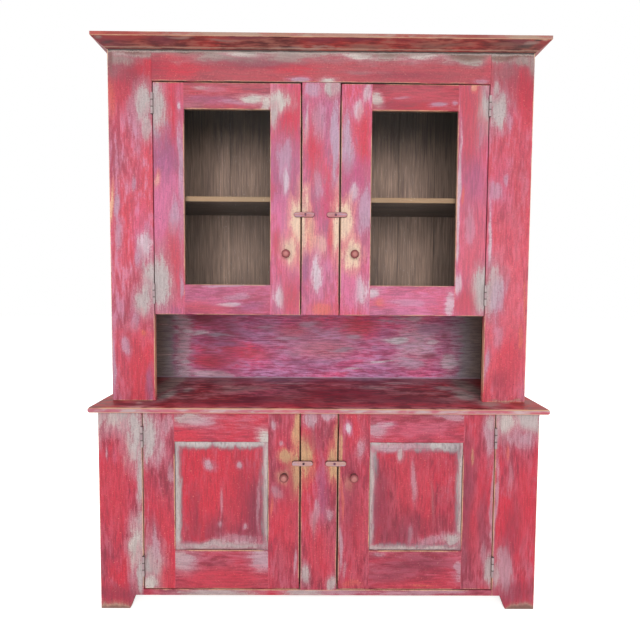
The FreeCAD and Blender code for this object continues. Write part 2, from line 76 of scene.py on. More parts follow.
# Paints, woods and metals, and some colours of painted shade, as seen colours from 0 to 255
palette = {
    "red": (196, 74, 90), "bright": (204, 52, 70), "rose": (202, 90, 116), "pink": (214, 116, 156),
    "blush": (220, 96, 112), "magenta": (186, 80, 122), "violet": (158, 92, 130), "deep": (132, 46, 68),
    "dull red": (180, 78, 88), "crimson": (140, 40, 56), "wine": (108, 40, 56), "brick": (150, 52, 50),
    "plum": (136, 84, 100), "mauve": (148, 122, 126), "veil": (194, 160, 172), "lavender": (188, 160, 182),
    "steel": (160, 156, 172), "ash": (168, 154, 148), "grey": (192, 180, 179), "pale": (206, 198, 192),
    "white": (216, 205, 213), "cream": (236, 204, 178), "peach": (236, 184, 152), "worn": (230, 184, 146),
    "ochre": (206, 166, 122), "orange": (220, 112, 86), "beige": (184, 156, 136), "brown": (150, 126, 118),
    "umber": (122, 86, 76), "dark": (150, 136, 132), "soot": (48, 38, 35), "iron": (70, 58, 56),
    "pine_light": (200, 168, 148), "pine_dark": (122, 98, 90), "shelf_edge": (184, 148, 116),
    "bare_light": (168, 140, 108), "bare_dark": (118, 92, 68),
    "hinge_dull": (172, 142, 148), "hinge_pale": (196, 182, 180), "film_light": (150, 158, 152),
    "film_dark": (120, 128, 124), "knob_crown": (190, 118, 112), "knob_side": (142, 74, 72),
    "knob_foot_shade": (84, 38, 38), "button_red": (186, 112, 118), "button_worn": (198, 150, 142),
    "button_edge_shade": (84, 40, 44),
}

# Brush marks: waves to the metre, levels of detail, roughness and distortion
fine_noise = (420.0, 2.0, 0.6, 0.0)
streak_noise = (150.0, 3.0, 0.62, 0.0)
mid_noise = (34.0, 3.0, 0.62, 0.3)
cloud_noise = (8.0, 3.0, 0.55, 0.4)
speck_noise = (240.0, 2.0, 0.7, 0.0)
pit_noise = (600.0, 3.0, 0.6)
warp_waves, warp_detail, warp_reach = 13.0, 3.0, 0.055
along_share = 0.11
drift_share = 0.32
long_grain = 0.3
level_depth = 0.4
grain_spread = 9.0

# Shares of the brush marks in what they shape together, and the spread over which it shows
ragged_shares = {"Mid": 0.52, "Streak": 0.2, "Speck": 0.15, "Fine": 0.13}
ragged_gain = 3.0
dry_shares = {"Speck": 0.3, "Streak": 0.3, "Fine": 0.4}
dry_spread = (0.4, 0.56)
dry_low = 0.55
wood_shares = {"Fine": 0.3, "Streak": 0.7}
wood_spread = (0.28, 0.72)
wood_clouds = (0.3, 0.7)
wood_swing = (0.72, 1.12)
streaked_shares = {"Mid": 0.4, "Streak": 0.6}
streaked_spread = (0.42, 0.58)
fleck_shares = {"Speck": 0.4, "Streak": 0.6}
fleck_spread = (0.4, 0.6)
fleck_swing = (0.87, 1.13)
relief_shares = {"Streak": 1.0, "Fine": 0.5}
relief_depth = 0.0008
gloss_spread = (0.35, 0.65)

# The top coat's layers: a paint, the shares of the brush marks that bring it up, their spread and its cover
coat_layers = (
    ("Bright", {"Cloud": 0.65, "Mid": 0.35}, (0.44, 0.62), 1.0),
    ("Haze", {"Mid": 0.6, "Streak": 0.4, "Cloud": -0.4}, (0.22, 0.44), 0.85),
    ("Deep", {"Streak": 0.65, "Fine": 0.35}, (0.46, 0.34), 0.36),
    ("Deep", {"Streak": 0.2, "Mid": 0.45, "Cloud": 0.35}, (0.5, 0.41), 0.42),
)
scratch_layer = ("Haze", {"Streak": 0.4, "Fine": 0.6}, (0.55, 0.66), 0.45)
glow_spread = (0.36, 0.62)
glow_swing = (0.9, 1.08)

# Touches, lines and fields of paint: their edges, the wear and dirt that they stand for, and the painted
# shade in the seams, the gaps and round the panels' fields
touch_core = 1.04
touch_softness = 0.55
line_softness = 0.4
dry_reach = (0.15, 1.0)
halo_reach = 0.5
halo_cover = 0.6
field_swing = 0.024
field_blur = 0.012
field_shade_rim = 0.0028
wear_reach = 0.0027
wear_cover = 0.8
worn_gap = 0.0045
gap_shade_reach = 0.0024
seam_shade_reach = 0.0011
sight_reach = 0.002
chip_spread, chip_cover = (0.66, 0.76), 0.6
speck_spread, speck_cover = (0.35, 0.25), 0.65
far = 1000.0

# How far a face turns, as its normal's share along an axis, where one finish gives way to another
facing_spreads = {
    "inner side": (0.35, 0.6), "back": (0.3, 0.7), "shelf top": (-0.7, -0.3), "shelf front": (-0.3, -0.7),
    "counter top": (0.75, 0.95), "counter rim": (0.35, 0.7), "below top": (0.98, 0.85),
    "counter underside": (-0.35, -0.7), "flat underside": (-0.9, -0.98), "fillet": (-0.5, -0.2),
    "cornice bare": (0.3, 0.6), "hinge front": (-0.2, -0.6), "button edge": (-0.97, -0.6),
}


def linear(colour):
    """A seen colour, by name or as 0 to 255, as the light values that the shaders take."""
    values = [value / 255 for value in palette.get(colour, colour)]
    return [v / 12.92 if v <= 0.04045 else ((v + 0.055) / 1.055) ** 2.4 for v in values] + [1.0]


# Shader building

class Graph:
    """Adds nodes to one shader tree."""

    def __init__(self, tree):
        self.tree = tree

    def node(self, kind, inputs=(), **settings):
        node = self.tree.nodes.new(kind)
        for name, value in settings.items():
            setattr(node, name, value)
        for key, value in dict(inputs).items():
            self.feed(node.inputs[key], value)
        return node

    def feed(self, socket, value):
        """Link another node's output to a socket, or set the socket's own value."""
        if isinstance(value, bpy.types.NodeSocket):
            self.tree.links.new(value, socket)
        else:
            socket.default_value = value

    def math(self, operation, *values):
        return self.node("ShaderNodeMath", enumerate(values), operation=operation).outputs[0]

    def vector(self, operation, *values, out=0):
        return self.node("ShaderNodeVectorMath", enumerate(values), operation=operation).outputs[out]

    def scaled(self, colour, amount):
        """A colour or vector times a value."""
        return self.node("ShaderNodeVectorMath", {0: colour, "Scale": amount}, operation="SCALE").outputs[0]

    def weighed(self, marks, shares):
        """The sum of named marks, each times its share."""
        total = None
        for name, share in shares.items():
            if total is None:
                total = self.math("MULTIPLY", marks[name], share)
            else:
                total = self.math("MULTIPLY_ADD", marks[name], share, total)
        return total

    def smooth(self, value, low, high, start=0.0, end=1.0):
        """Rises smoothly from start to end as the value goes from low to high."""
        inputs = {"Value": value, "From Min": low, "From Max": high, "To Min": start, "To Max": end}
        return self.node("ShaderNodeMapRange", inputs, interpolation_type="SMOOTHSTEP").outputs[0]

    def mix(self, share, a, b):
        return self.node("ShaderNodeMix", {0: share, 6: a, 7: b}, data_type="RGBA").outputs[2]

    def noise(self, point, scale, detail=2.0, roughness=0.55, distortion=0.0):
        inputs = {"Vector": point, "Scale": scale, "Detail": detail, "Roughness": roughness,
                  "Distortion": distortion}
        return self.node("ShaderNodeTexNoise", inputs).outputs[0]

    def parts(self, vector):
        return self.node("ShaderNodeSeparateXYZ", {0: vector}).outputs

    def use(self, group, **inputs):
        """The outputs of a shader group, fed by the names of its sockets."""
        return self.node("ShaderNodeGroup", inputs, node_tree=group).outputs

    def surface(self, shader):
        self.feed(self.node("ShaderNodeOutputMaterial").inputs[0], shader)


def new_group(name, inputs, outputs):
    """An empty shader group with the named sockets, its graph and its two ends."""
    kinds = {"f": "NodeSocketFloat", "v": "NodeSocketVector", "c": "NodeSocketColor"}
    tree = bpy.data.node_groups.new(name, "ShaderNodeTree")
    for direction, sockets in (("INPUT", inputs), ("OUTPUT", outputs)):
        for socket, kind in sockets.items():
            tree.interface.new_socket(name=socket, in_out=direction, socket_type=kinds[kind])
    graph = Graph(tree)
    start = graph.node("NodeGroupInput").outputs
    end = graph.node("NodeGroupOutput").inputs
    return tree, graph, start, end


def new_material(name):
    """An empty material with its graph and its coordinates."""
    material = bpy.data.materials.new(name)
    material.use_nodes = True
    g = Graph(material.node_tree)
    material.node_tree.nodes.clear()
    return material, g, g.node("ShaderNodeTexCoord").outputs


def brushwork_group():
    """Grain and brush marks at several scales, drawn out along the grain, and a point pushed about."""
    tree, g, start, end = new_group("brushwork", {"Point": "v", "Along": "v", "Drift": "v", "Offset": "v"},
                                    {"Fine": "f", "Streak": "f", "Mid": "f", "Cloud": "f", "Speck": "f",
                                     "Ragged": "f", "Dry": "f", "Warped": "v"})
    drawn = g.vector("ADD", g.vector("MULTIPLY", start["Point"], start["Along"]), start["Offset"])
    drift = g.vector("ADD", g.vector("MULTIPLY", start["Point"], start["Drift"]), start["Offset"])
    even = g.vector("ADD", start["Point"], start["Offset"])
    marks = {"Fine": g.noise(drawn, *fine_noise), "Streak": g.noise(drawn, *streak_noise),
             "Mid": g.noise(drift, *mid_noise), "Cloud": g.noise(drift, *cloud_noise),
             "Speck": g.noise(even, *speck_noise)}
    for name, value in marks.items():
        g.feed(end[name], value)
    swing = g.math("SUBTRACT", g.weighed(marks, ragged_shares), 0.5)
    g.feed(end["Ragged"], g.math("MULTIPLY", swing, ragged_gain))
    g.feed(end["Dry"], g.smooth(g.weighed(marks, dry_shares), *dry_spread, dry_low, 1.0))
    push = g.node("ShaderNodeTexNoise", {"Vector": drift, "Scale": warp_waves, "Detail": warp_detail})
    push = g.scaled(g.vector("SUBTRACT", push.outputs["Color"], (0.5, 0.5, 0.5)), warp_reach)
    g.feed(end["Warped"], g.vector("ADD", start["Point"], push))
    return tree


def top_coat_group():
    """The coat of paint before wear: clouds of tone with drawn-out brush marks."""
    sockets = {**dict.fromkeys(("Fine", "Streak", "Mid", "Cloud"), "f"),
               **dict.fromkeys(("Plain", "Bright", "Haze", "Deep"), "c")}
    tree, g, start, end = new_group("top coat", sockets, {"Colour": "c"})

    def layered(colour, paint, shares, spread, cover):
        return g.mix(g.smooth(g.weighed(start, shares), *spread, 0.0, cover), colour, start[paint])

    colour = start["Plain"]
    for layer in coat_layers:
        colour = layered(colour, *layer)
    colour = g.scaled(colour, g.smooth(start["Cloud"], *glow_spread, *glow_swing))
    g.feed(end["Colour"], layered(colour, *scratch_layer))
    return tree


def touch_group(square):
    """One touch of colour laid on what is there: an ellipse, or a straight line where square."""
    sockets = {"Colour": "c", "Point": "v", "Ragged": "f", "Dry": "f", "Centre": "v", "Reach": "v",
               "Paint": "c", "Halo": "c", "Cover": "f"}
    tree, g, start, end = new_group("line" if square else "touch", sockets, {"Colour": "c"})
    off = g.vector("DIVIDE", g.vector("SUBTRACT", start["Point"], start["Centre"]), start["Reach"])
    if square:
        x, y, z = g.parts(g.vector("ABSOLUTE", off))
        distance = g.math("MAXIMUM", g.math("MAXIMUM", x, y), z)
    else:
        distance = g.vector("LENGTH", off, out=1)
    inside = g.math("ADD", g.math("SUBTRACT", touch_core, distance), start["Ragged"])
    colour = start["Colour"]
    if not square:
        share = g.smooth(inside, -halo_reach, touch_softness - halo_reach, 0.0, halo_cover)
        colour = g.mix(g.math("MULTIPLY", share, start["Cover"]), colour, start["Halo"])
    softness = line_softness if square else touch_softness
    share = g.math("MULTIPLY", g.smooth(inside, 0.0, softness), start["Cover"])
    share = g.math("MULTIPLY", share, g.smooth(inside, *dry_reach, start["Dry"], 1.0))
    g.feed(end["Colour"], g.mix(share, colour, start["Paint"]))
    return tree


def field_group():
    """Paint over a whole straight-sided field, which fades out at its ragged rim."""
    sockets = {"Colour": "c", "Point": "v", "Ragged": "f", "Centre": "v", "Half": "v", "Paint": "c"}
    tree, g, start, end = new_group("field", sockets, {"Colour": "c"})
    off = g.vector("ABSOLUTE", g.vector("SUBTRACT", start["Point"], start["Centre"]))
    x, _, z = g.parts(g.vector("SUBTRACT", off, start["Half"]))
    outside = g.math("MAXIMUM", x, z)
    outside = g.math("SUBTRACT", outside, g.math("MULTIPLY", start["Ragged"], field_swing))
    share = g.smooth(outside, field_blur, -field_blur)
    g.feed(end["Colour"], g.mix(share, start["Colour"], start["Paint"]))
    return tree


def wood_group():
    """Bare pine: pale and dark bands along the grain."""
    sockets = {"Fine": "f", "Streak": "f", "Cloud": "f", "Light": "c", "Dark": "c"}
    tree, g, start, end = new_group("bare wood", sockets, {"Colour": "c"})
    bands = g.smooth(g.weighed(start, wood_shares), *wood_spread)
    shade = g.smooth(start["Cloud"], *wood_clouds, *wood_swing)
    g.feed(end["Colour"], g.scaled(g.mix(bands, start["Dark"], start["Light"]), shade))
    return tree


brushwork = brushwork_group()
top_coat = top_coat_group()
touch = touch_group(False)
line = touch_group(True)
field = field_group()
bare_wood = wood_group()

# Tones of the top coat: its plain, bright, hazy and deep paints
tones = {
    "upper": ((204, 82, 102), (212, 70, 86), (210, 138, 164), (156, 58, 82)),
    "frieze": ((175, 58, 71), (191, 54, 65), (178, 83, 98), "deep"),
    "rose": ((203, 95, 123), (205, 72, 93), (213, 126, 166), "violet"),
    "dull": ((175, 76, 90), (185, 61, 73), (180, 103, 118), (135, 59, 79)),
    "dusk": ((194, 78, 106), (198, 66, 86), (200, 108, 144), (146, 60, 92)),
    "lower": ((184, 54, 76), (200, 46, 66), (190, 96, 116), (114, 36, 58)),
    "panel": ((178, 48, 70), (196, 42, 62), (182, 86, 104), (104, 32, 52)),
    "undercoat": ((180, 169, 171), (197, 189, 186), (168, 144, 153), (124, 100, 108)),
    # The niche's tones are lighter than its paint: painted light for the shade it stands in
    "niche": ((216, 87, 135), (224, 76, 110), (204, 149, 196), (144, 62, 106)),
    "counter": ((176, 64, 74), (192, 54, 64), (182, 130, 138), (110, 40, 50)),
    "nosing": ((200, 120, 132), (196, 84, 98), (208, 186, 188), "rose"),
    "cornice": ((126, 44, 42), (152, 42, 38), (138, 88, 76), (68, 30, 30)),
    "fillet": ((169, 102, 91), (158, 64, 58), (181, 162, 149), (203, 149, 115)),
}

# What a touch of each paint fades to at its rim
halos = {
    "grey": (190, 122, 136), "pale": (196, 126, 138), "mauve": (168, 102, 114), "white": (202, 124, 156),
    "ash": (168, 108, 116), "lavender": (194, 104, 130), "veil": (190, 100, 120), "steel": (160, 106, 128),
    "cream": (224, 144, 138), "peach": (222, 120, 112), "ochre": (204, 112, 98), "beige": (184, 104, 100),
    "orange": (206, 84, 88),
}

# Tones of the rails that differ from their door
rail_tones = {"upper_left_door_top_rail": "dull", "upper_right_door_top_rail": "frieze",
              "upper_left_door_bottom_rail": "dusk"}
axes = {"x": 0, "y": 1, "z": 2}


def start_material(name, grain, depth=1.0, length=1.0):
    """A material's graph, its coordinates and its brushwork. Each name has its own stretch of grain.

    With a length below 1, the marks are longer; with a depth below 1, they reach from front to back.
    """
    material, g, coordinates = new_material(name)
    along, drift = [1.0] * 3, [1.0] * 3
    along[axes[grain]] = along_share * length
    drift[axes[grain]] = drift_share
    along[axes["y"]] *= depth
    drift[axes["y"]] *= depth
    seeded = random.Random(name)
    offset = [seeded.uniform(0, grain_spread) for _ in range(3)]
    brush = g.use(brushwork, Point=coordinates["Object"], Along=along, Drift=drift, Offset=offset)
    return material, g, coordinates, brush


def end_material(g, colour, brush, roughness=(0.5, 0.7), bump=0.35, sheen=0.5):
    """The shader, with its gloss and relief from the same brush marks as its colour."""
    rough = g.smooth(brush["Streak"], *gloss_spread, *roughness)
    height = g.weighed(brush, relief_shares)
    relief = g.node("ShaderNodeBump", {"Strength": bump, "Distance": relief_depth, "Height": height})
    inputs = {"Base Color": colour, "Roughness": rough, "Normal": relief.outputs[0],
              "Specular IOR Level": sheen}
    g.surface(g.node("ShaderNodeBsdfPrincipled", inputs).outputs[0])


def face_box(name, left=None, right=None):
    """The visible face of a node: its box, or between two other nodes where its tenons are hidden."""
    low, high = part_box(name)
    if left:
        low.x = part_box(left)[1].x
    if right:
        high.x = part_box(right)[0].x
    return low, high


def lay(g, colour, point, brush, kind, centre, reach, paint, cover):
    """One touch or line of paint over the colour so far."""
    made = g.use(kind, Colour=colour, Point=point, Ragged=brush["Ragged"], Dry=brush["Dry"], Centre=centre,
                 Reach=reach, Paint=linear(paint), Halo=linear(halos.get(paint, paint)), Cover=cover)
    return made[0]


def touched(g, colour, brush, box, touches, up="z"):
    """Touches of paint over the colour so far.

    A touch gives its paint, how far it lies across and up the box in percent, its reach to each side
    and up and down in millimetres, and its cover in percent.
    """
    low, high = box
    for paint, across_share, up_share, wide, tall, cover in touches:
        centre, reach = Vector((0, 0, 0)), Vector((far, far, far))
        for axis, share, half in ((axes["x"], across_share, wide), (axes[up], up_share, tall)):
            centre[axis] = low[axis] + share / 100 * (high[axis] - low[axis])
            reach[axis] = half / 1000
        colour = lay(g, colour, brush["Warped"], brush, touch, centre, reach, paint, cover / 100)
    return colour


def lined(g, colour, point, brush, lines):
    """Straight lines of paint over the colour so far. A line gives its paint, centre, reach and cover."""
    for paint, centre, reach, cover in lines:
        colour = lay(g, colour, point, brush, line, centre, reach, paint, cover)
    return colour


def coat(g, brush, tone):
    """The top coat in one of the tones."""
    names = ("Plain", "Bright", "Haze", "Deep")
    colours = {name: linear(colour) for name, colour in zip(names, tones[tone])}
    marks = {name: brush[name] for name in ("Fine", "Streak", "Mid", "Cloud")}
    return g.use(top_coat, **marks, **colours)[0]


def specked(g, brush, colour):
    """Light flecks where the paint is chipped, dark ones where dirt has lodged, and fine brush marks."""
    colour = g.mix(g.smooth(brush["Speck"], *chip_spread, 0.0, chip_cover), colour, linear("peach"))
    colour = g.mix(g.smooth(brush["Speck"], *speck_spread, 0.0, speck_cover), colour, linear("wine"))
    return g.scaled(colour, g.smooth(g.weighed(brush, fleck_shares), *fleck_spread, *fleck_swing))


def streaked(g, brush, colour, low, high):
    """Marks drawn out along the grain, between a darker and a lighter share of the colour."""
    return g.scaled(colour, g.smooth(g.weighed(brush, streaked_shares), *streaked_spread, low, high))


def pine(g, brush, light="bare_light", dark="bare_dark"):
    """Bare wood in a light and a dark colour."""
    marks = {name: brush[name] for name in ("Fine", "Streak", "Cloud")}
    return g.use(bare_wood, **marks, Light=linear(light), Dark=linear(dark))[0]


def facing(g, coordinates, axis, turn, start=0.0, end=1.0):
    """From start to end as the surface turns towards an axis, over the named turn."""
    return g.smooth(g.parts(coordinates["Normal"])[axes[axis]], *facing_spreads[turn], start, end)


def bare_within(g, colour, coordinates, brush, inward=(0, 1, 0)):
    """Bare wood on the side that looks into the case."""
    towards = g.vector("DOT_PRODUCT", coordinates["Normal"], inward, out=1)
    return g.mix(g.smooth(towards, *facing_spreads["inner side"]), colour, pine(g, brush))


def worn_edges(g, colour, point, brush, box, edges):
    """Paint rubbed off along some edges of a face that looks to the front."""
    low, high = box
    middle, half = (low + high) / 2, (high - low) / 2
    for edge in edges:
        centre = Vector((middle.x, low.y, middle.z))
        size = Vector((half.x, 2 * wear_reach, half.z))
        if edge in ("left", "right"):
            centre.x = low.x if edge == "left" else high.x
            size.x = wear_reach
        else:
            centre.z = low.z if edge == "bottom" else high.z
            size.z = wear_reach
        colour = lay(g, colour, point, brush, line, centre, size, "worn", wear_cover)
    return colour


def inner_field(g, colour, point, brush, inner):
    """The undercoat all round a field of the colour so far, with a dark plum rim of painted shade between
    them.
    """
    low, high = inner
    rim = Vector((field_shade_rim, 0, field_shade_rim))
    below = coat(g, brush, "undercoat")
    for half, paint in (((high - low) / 2 + rim, linear("plum")), ((high - low) / 2 - rim, colour)):
        below = g.use(field, Colour=below, Paint=paint, Point=point, Ragged=brush["Ragged"],
                      Centre=(low + high) / 2, Half=half)[0]
    return below


def painted(name, grain, tone, touches, edges, box=None, lines=(), inner=None):
    """Paint for one piece: top coat, touches, lines, worn edges, and bare wood on the side that faces away.

    With an inner field, only that field has the top coat and the undercoat shows round it.
    """
    material, g, coordinates, brush = start_material(name, grain)
    point = coordinates["Object"]
    colour = coat(g, brush, tone)
    box = box or face_box(name)
    if inner:
        colour = inner_field(g, colour, point, brush, inner)
    colour = touched(g, colour, brush, box, touches)
    colour = lined(g, colour, point, brush, lines)
    colour = worn_edges(g, colour, point, brush, box, edges)
    colour = specked(g, brush, colour)
    end_material(g, bare_within(g, colour, coordinates, brush), brush)
    return material


def board(name, grain):
    """Bare wood for hidden boards and the inside of the case."""
    material, g, coordinates, brush = start_material(name, grain, length=long_grain)
    end_material(g, pine(g, brush), brush, roughness=(0.6, 0.85))
    return material


def dress(name, material):
    """Give a node its material."""
    mesh = nodes[name].data
    mesh.materials.clear()
    mesh.materials.append(material)


# Touches on the face frames and the doors: paint, percent across and up, reach in mm, cover in percent
frame_touches = {
    "upper_stile_left": (
        ("bright", 95, 93, 70, 45, 90), ("ash", 25, 95.5, 70, 32, 90), ("pale", 45, 96.8, 60, 12, 60),
        ("deep", 60, 90, 40, 40, 30), ("umber", 6, 95, 8, 50, 60), ("ash", 80, 96.8, 60, 14, 70),
        ("umber", 60, 97.2, 50, 6, 60), ("mauve", 15, 91.5, 40, 30, 40), ("pink", 70, 50, 30, 100, 30),
        ("bright", 35, 86, 50, 60, 50), ("lavender", 62, 81, 30, 100, 35), ("grey", 82, 84, 36, 80, 95),
        ("grey", 88, 77, 20, 60, 60), ("lavender", 54, 62, 10, 40, 55), ("lavender", 18, 55, 16, 65, 70),
        ("peach", 6, 56, 9, 80, 85), ("lavender", 22, 45.5, 24, 60, 50), ("white", 80, 44, 28, 70, 75),
        ("lavender", 66, 41, 14, 45, 60), ("grey", 90, 33, 40, 100, 95), ("grey", 72, 28, 36, 75, 90),
        ("lavender", 55, 22.5, 20, 50, 70), ("bright", 60, 12, 70, 130, 60),
        ("lavender", 30, 15.5, 15, 45, 55), ("orange", 72, 19, 12, 12, 60),
        ("lavender", 5, 10, 9, 120, 60), ("violet", 85, 5, 12, 70, 50), ("deep", 35, 93, 90, 70, 22),
        ("orange", 8, 84, 20, 80, 35),
    ),
    "upper_stile_right": (
        ("red", 60, 62, 120, 200, 40), ("ash", 75, 95.8, 60, 24, 90), ("mauve", 30, 93, 50, 30, 30),
        ("umber", 20, 97, 60, 8, 60), ("ash", 97, 94, 20, 40, 70), ("bright", 72, 88.5, 26, 60, 80),
        ("umber", 70, 97.2, 50, 5, 60), ("pink", 30, 62, 40, 100, 20), ("bright", 82, 83, 30, 70, 60),
        ("lavender", 42, 80, 16, 50, 50), ("blush", 50, 25, 140, 300, 60), ("grey", 17, 82.5, 40, 75, 95),
        ("grey", 10, 88.5, 14, 40, 70), ("lavender", 20, 60, 30, 40, 50),
        ("lavender", 44, 63.5, 10, 30, 50), ("white", 6, 46, 8, 130, 70), ("grey", 18, 32, 42, 100, 98),
        ("lavender", 32, 30, 30, 90, 50), ("bright", 60, 12, 50, 100, 50),
        ("lavender", 10, 12, 14, 80, 60), ("lavender", 35, 20, 20, 50, 30), ("deep", 40, 6, 30, 40, 30),
        ("orange", 84, 19, 10, 60, 50), ("beige", 55, 0, 60, 7, 60), ("orange", 95, 30, 5, 120, 50),
        ("deep", 60, 91, 70, 90, 20),
    ),
    "frieze_rail": (
        ("bright", 6, 45, 100, 45, 60), ("deep", 0, 50, 50, 60, 30), ("bright", 42, 40, 70, 30, 50),
        ("ash", 23, 66, 150, 24, 80), ("ash", 0, 76, 120, 10, 90), ("pale", 27, 72, 70, 12, 80),
        ("ash", 40, 66, 90, 20, 80), ("pale", 60, 68, 60, 12, 80), ("pale", 80, 70, 80, 16, 70),
        ("ash", 93, 64, 50, 24, 90), ("red", 99, 50, 20, 50, 50), ("umber", 70, 76, 100, 8, 60),
        ("umber", 12, 75, 80, 8, 50), ("umber", 93, 72, 60, 10, 70), ("soot", 56, 76, 50, 3, 60),
        ("soot", 85, 74, 70, 3, 60), ("soot", 8, 73, 40, 4, 50), ("soot", 30, 76, 50, 2, 50),
        ("deep", 30, 50, 160, 20, 40), ("deep", 75, 20, 140, 16, 35), ("lavender", 43, 6, 40, 12, 70),
        ("pale", 52, 3, 34, 14, 90), ("mauve", 62, 30, 80, 10, 30), ("lavender", 97, 6, 30, 12, 40),
    ),
    "upper_centre_stile": (
        ("lavender", 25, 97, 35, 30, 70), ("grey", 80, 98, 45, 36, 95), ("white", 13, 82, 9, 80, 70),
        ("bright", 32, 72, 30, 130, 70), ("magenta", 60, 50, 40, 100, 35),
        ("lavender", 86, 76, 18, 180, 85), ("lavender", 40, 56, 24, 80, 50),
        ("lavender", 45, 84, 30, 80, 40), ("cream", 50, 30, 20, 50, 40), ("cream", 6, 40, 26, 120, 95),
        ("cream", 94, 38, 26, 110, 95), ("peach", 28, 37, 18, 100, 50), ("bright", 74, 34, 12, 60, 50),
        ("violet", 10, 20, 14, 50, 70), ("white", 42, 17, 24, 70, 80), ("orange", 60, 3, 50, 25, 60),
    ),
    "lower_stile_left": (
        ("grey", 20, 100, 100, 90, 97), ("grey", 60, 100, 70, 85, 97), ("grey", 86, 90, 40, 130, 98),
        ("grey", 97, 68, 12, 170, 90), ("pale", 30, 95, 30, 30, 50), ("bright", 40, 62, 50, 150, 50),
        ("rose", 43, 77, 10, 30, 50), ("veil", 20, 79, 8, 30, 60), ("grey", 93, 41, 22, 80, 95),
        ("pale", 86, 30, 34, 100, 95), ("grey", 92, 17, 22, 90, 95), ("beige", 35, 0, 130, 25, 80),
        ("umber", 40, 0, 130, 8, 70), ("deep", 40, 7, 90, 30, 40),
    ),
    "lower_stile_right": (
        ("grey", 20, 97, 70, 85, 95), ("grey", 75, 98, 70, 75, 95), ("pale", 25, 94, 40, 40, 80),
        ("veil", 60, 86, 60, 40, 50), ("veil", 70, 87, 30, 24, 40), ("veil", 3, 50, 8, 300, 60),
        ("orange", 25, 80, 8, 30, 40), ("veil", 35, 68, 14, 60, 25), ("bright", 70, 55, 40, 150, 40),
        ("veil", 30, 20, 40, 110, 65), ("grey", 12, 18, 12, 60, 50), ("orange", 98.5, 14, 5, 90, 70),
        ("beige", 60, 0, 120, 18, 80), ("umber", 60, 0, 120, 8, 70), ("deep", 50, 8, 70, 40, 40),
        ("deep", 45, 42, 30, 100, 30),
    ),
    "lower_centre_stile": (
        ("veil", 30, 96.5, 40, 34, 85), ("veil", 75, 98, 40, 22, 80), ("ochre", 10, 74, 26, 90, 90),
        ("ochre", 93, 71, 24, 80, 85), ("ochre", 97, 86, 8, 70, 60), ("violet", 60, 55, 30, 100, 40),
        ("veil", 42, 39, 14, 90, 50), ("veil", 80, 42, 14, 30, 50), ("bright", 50, 20, 50, 100, 50),
        ("grey", 12, 8, 24, 45, 85), ("grey", 88, 3, 20, 30, 80), ("deep", 40, 85, 40, 50, 35),
    ),
    "lower_bottom_rail": (
        ("grey", 20, 50, 160, 30, 85), ("veil", 55, 60, 140, 20, 70), ("grey", 45, 40, 80, 20, 80),
        ("veil", 80, 50, 200, 16, 60),
    ),
}

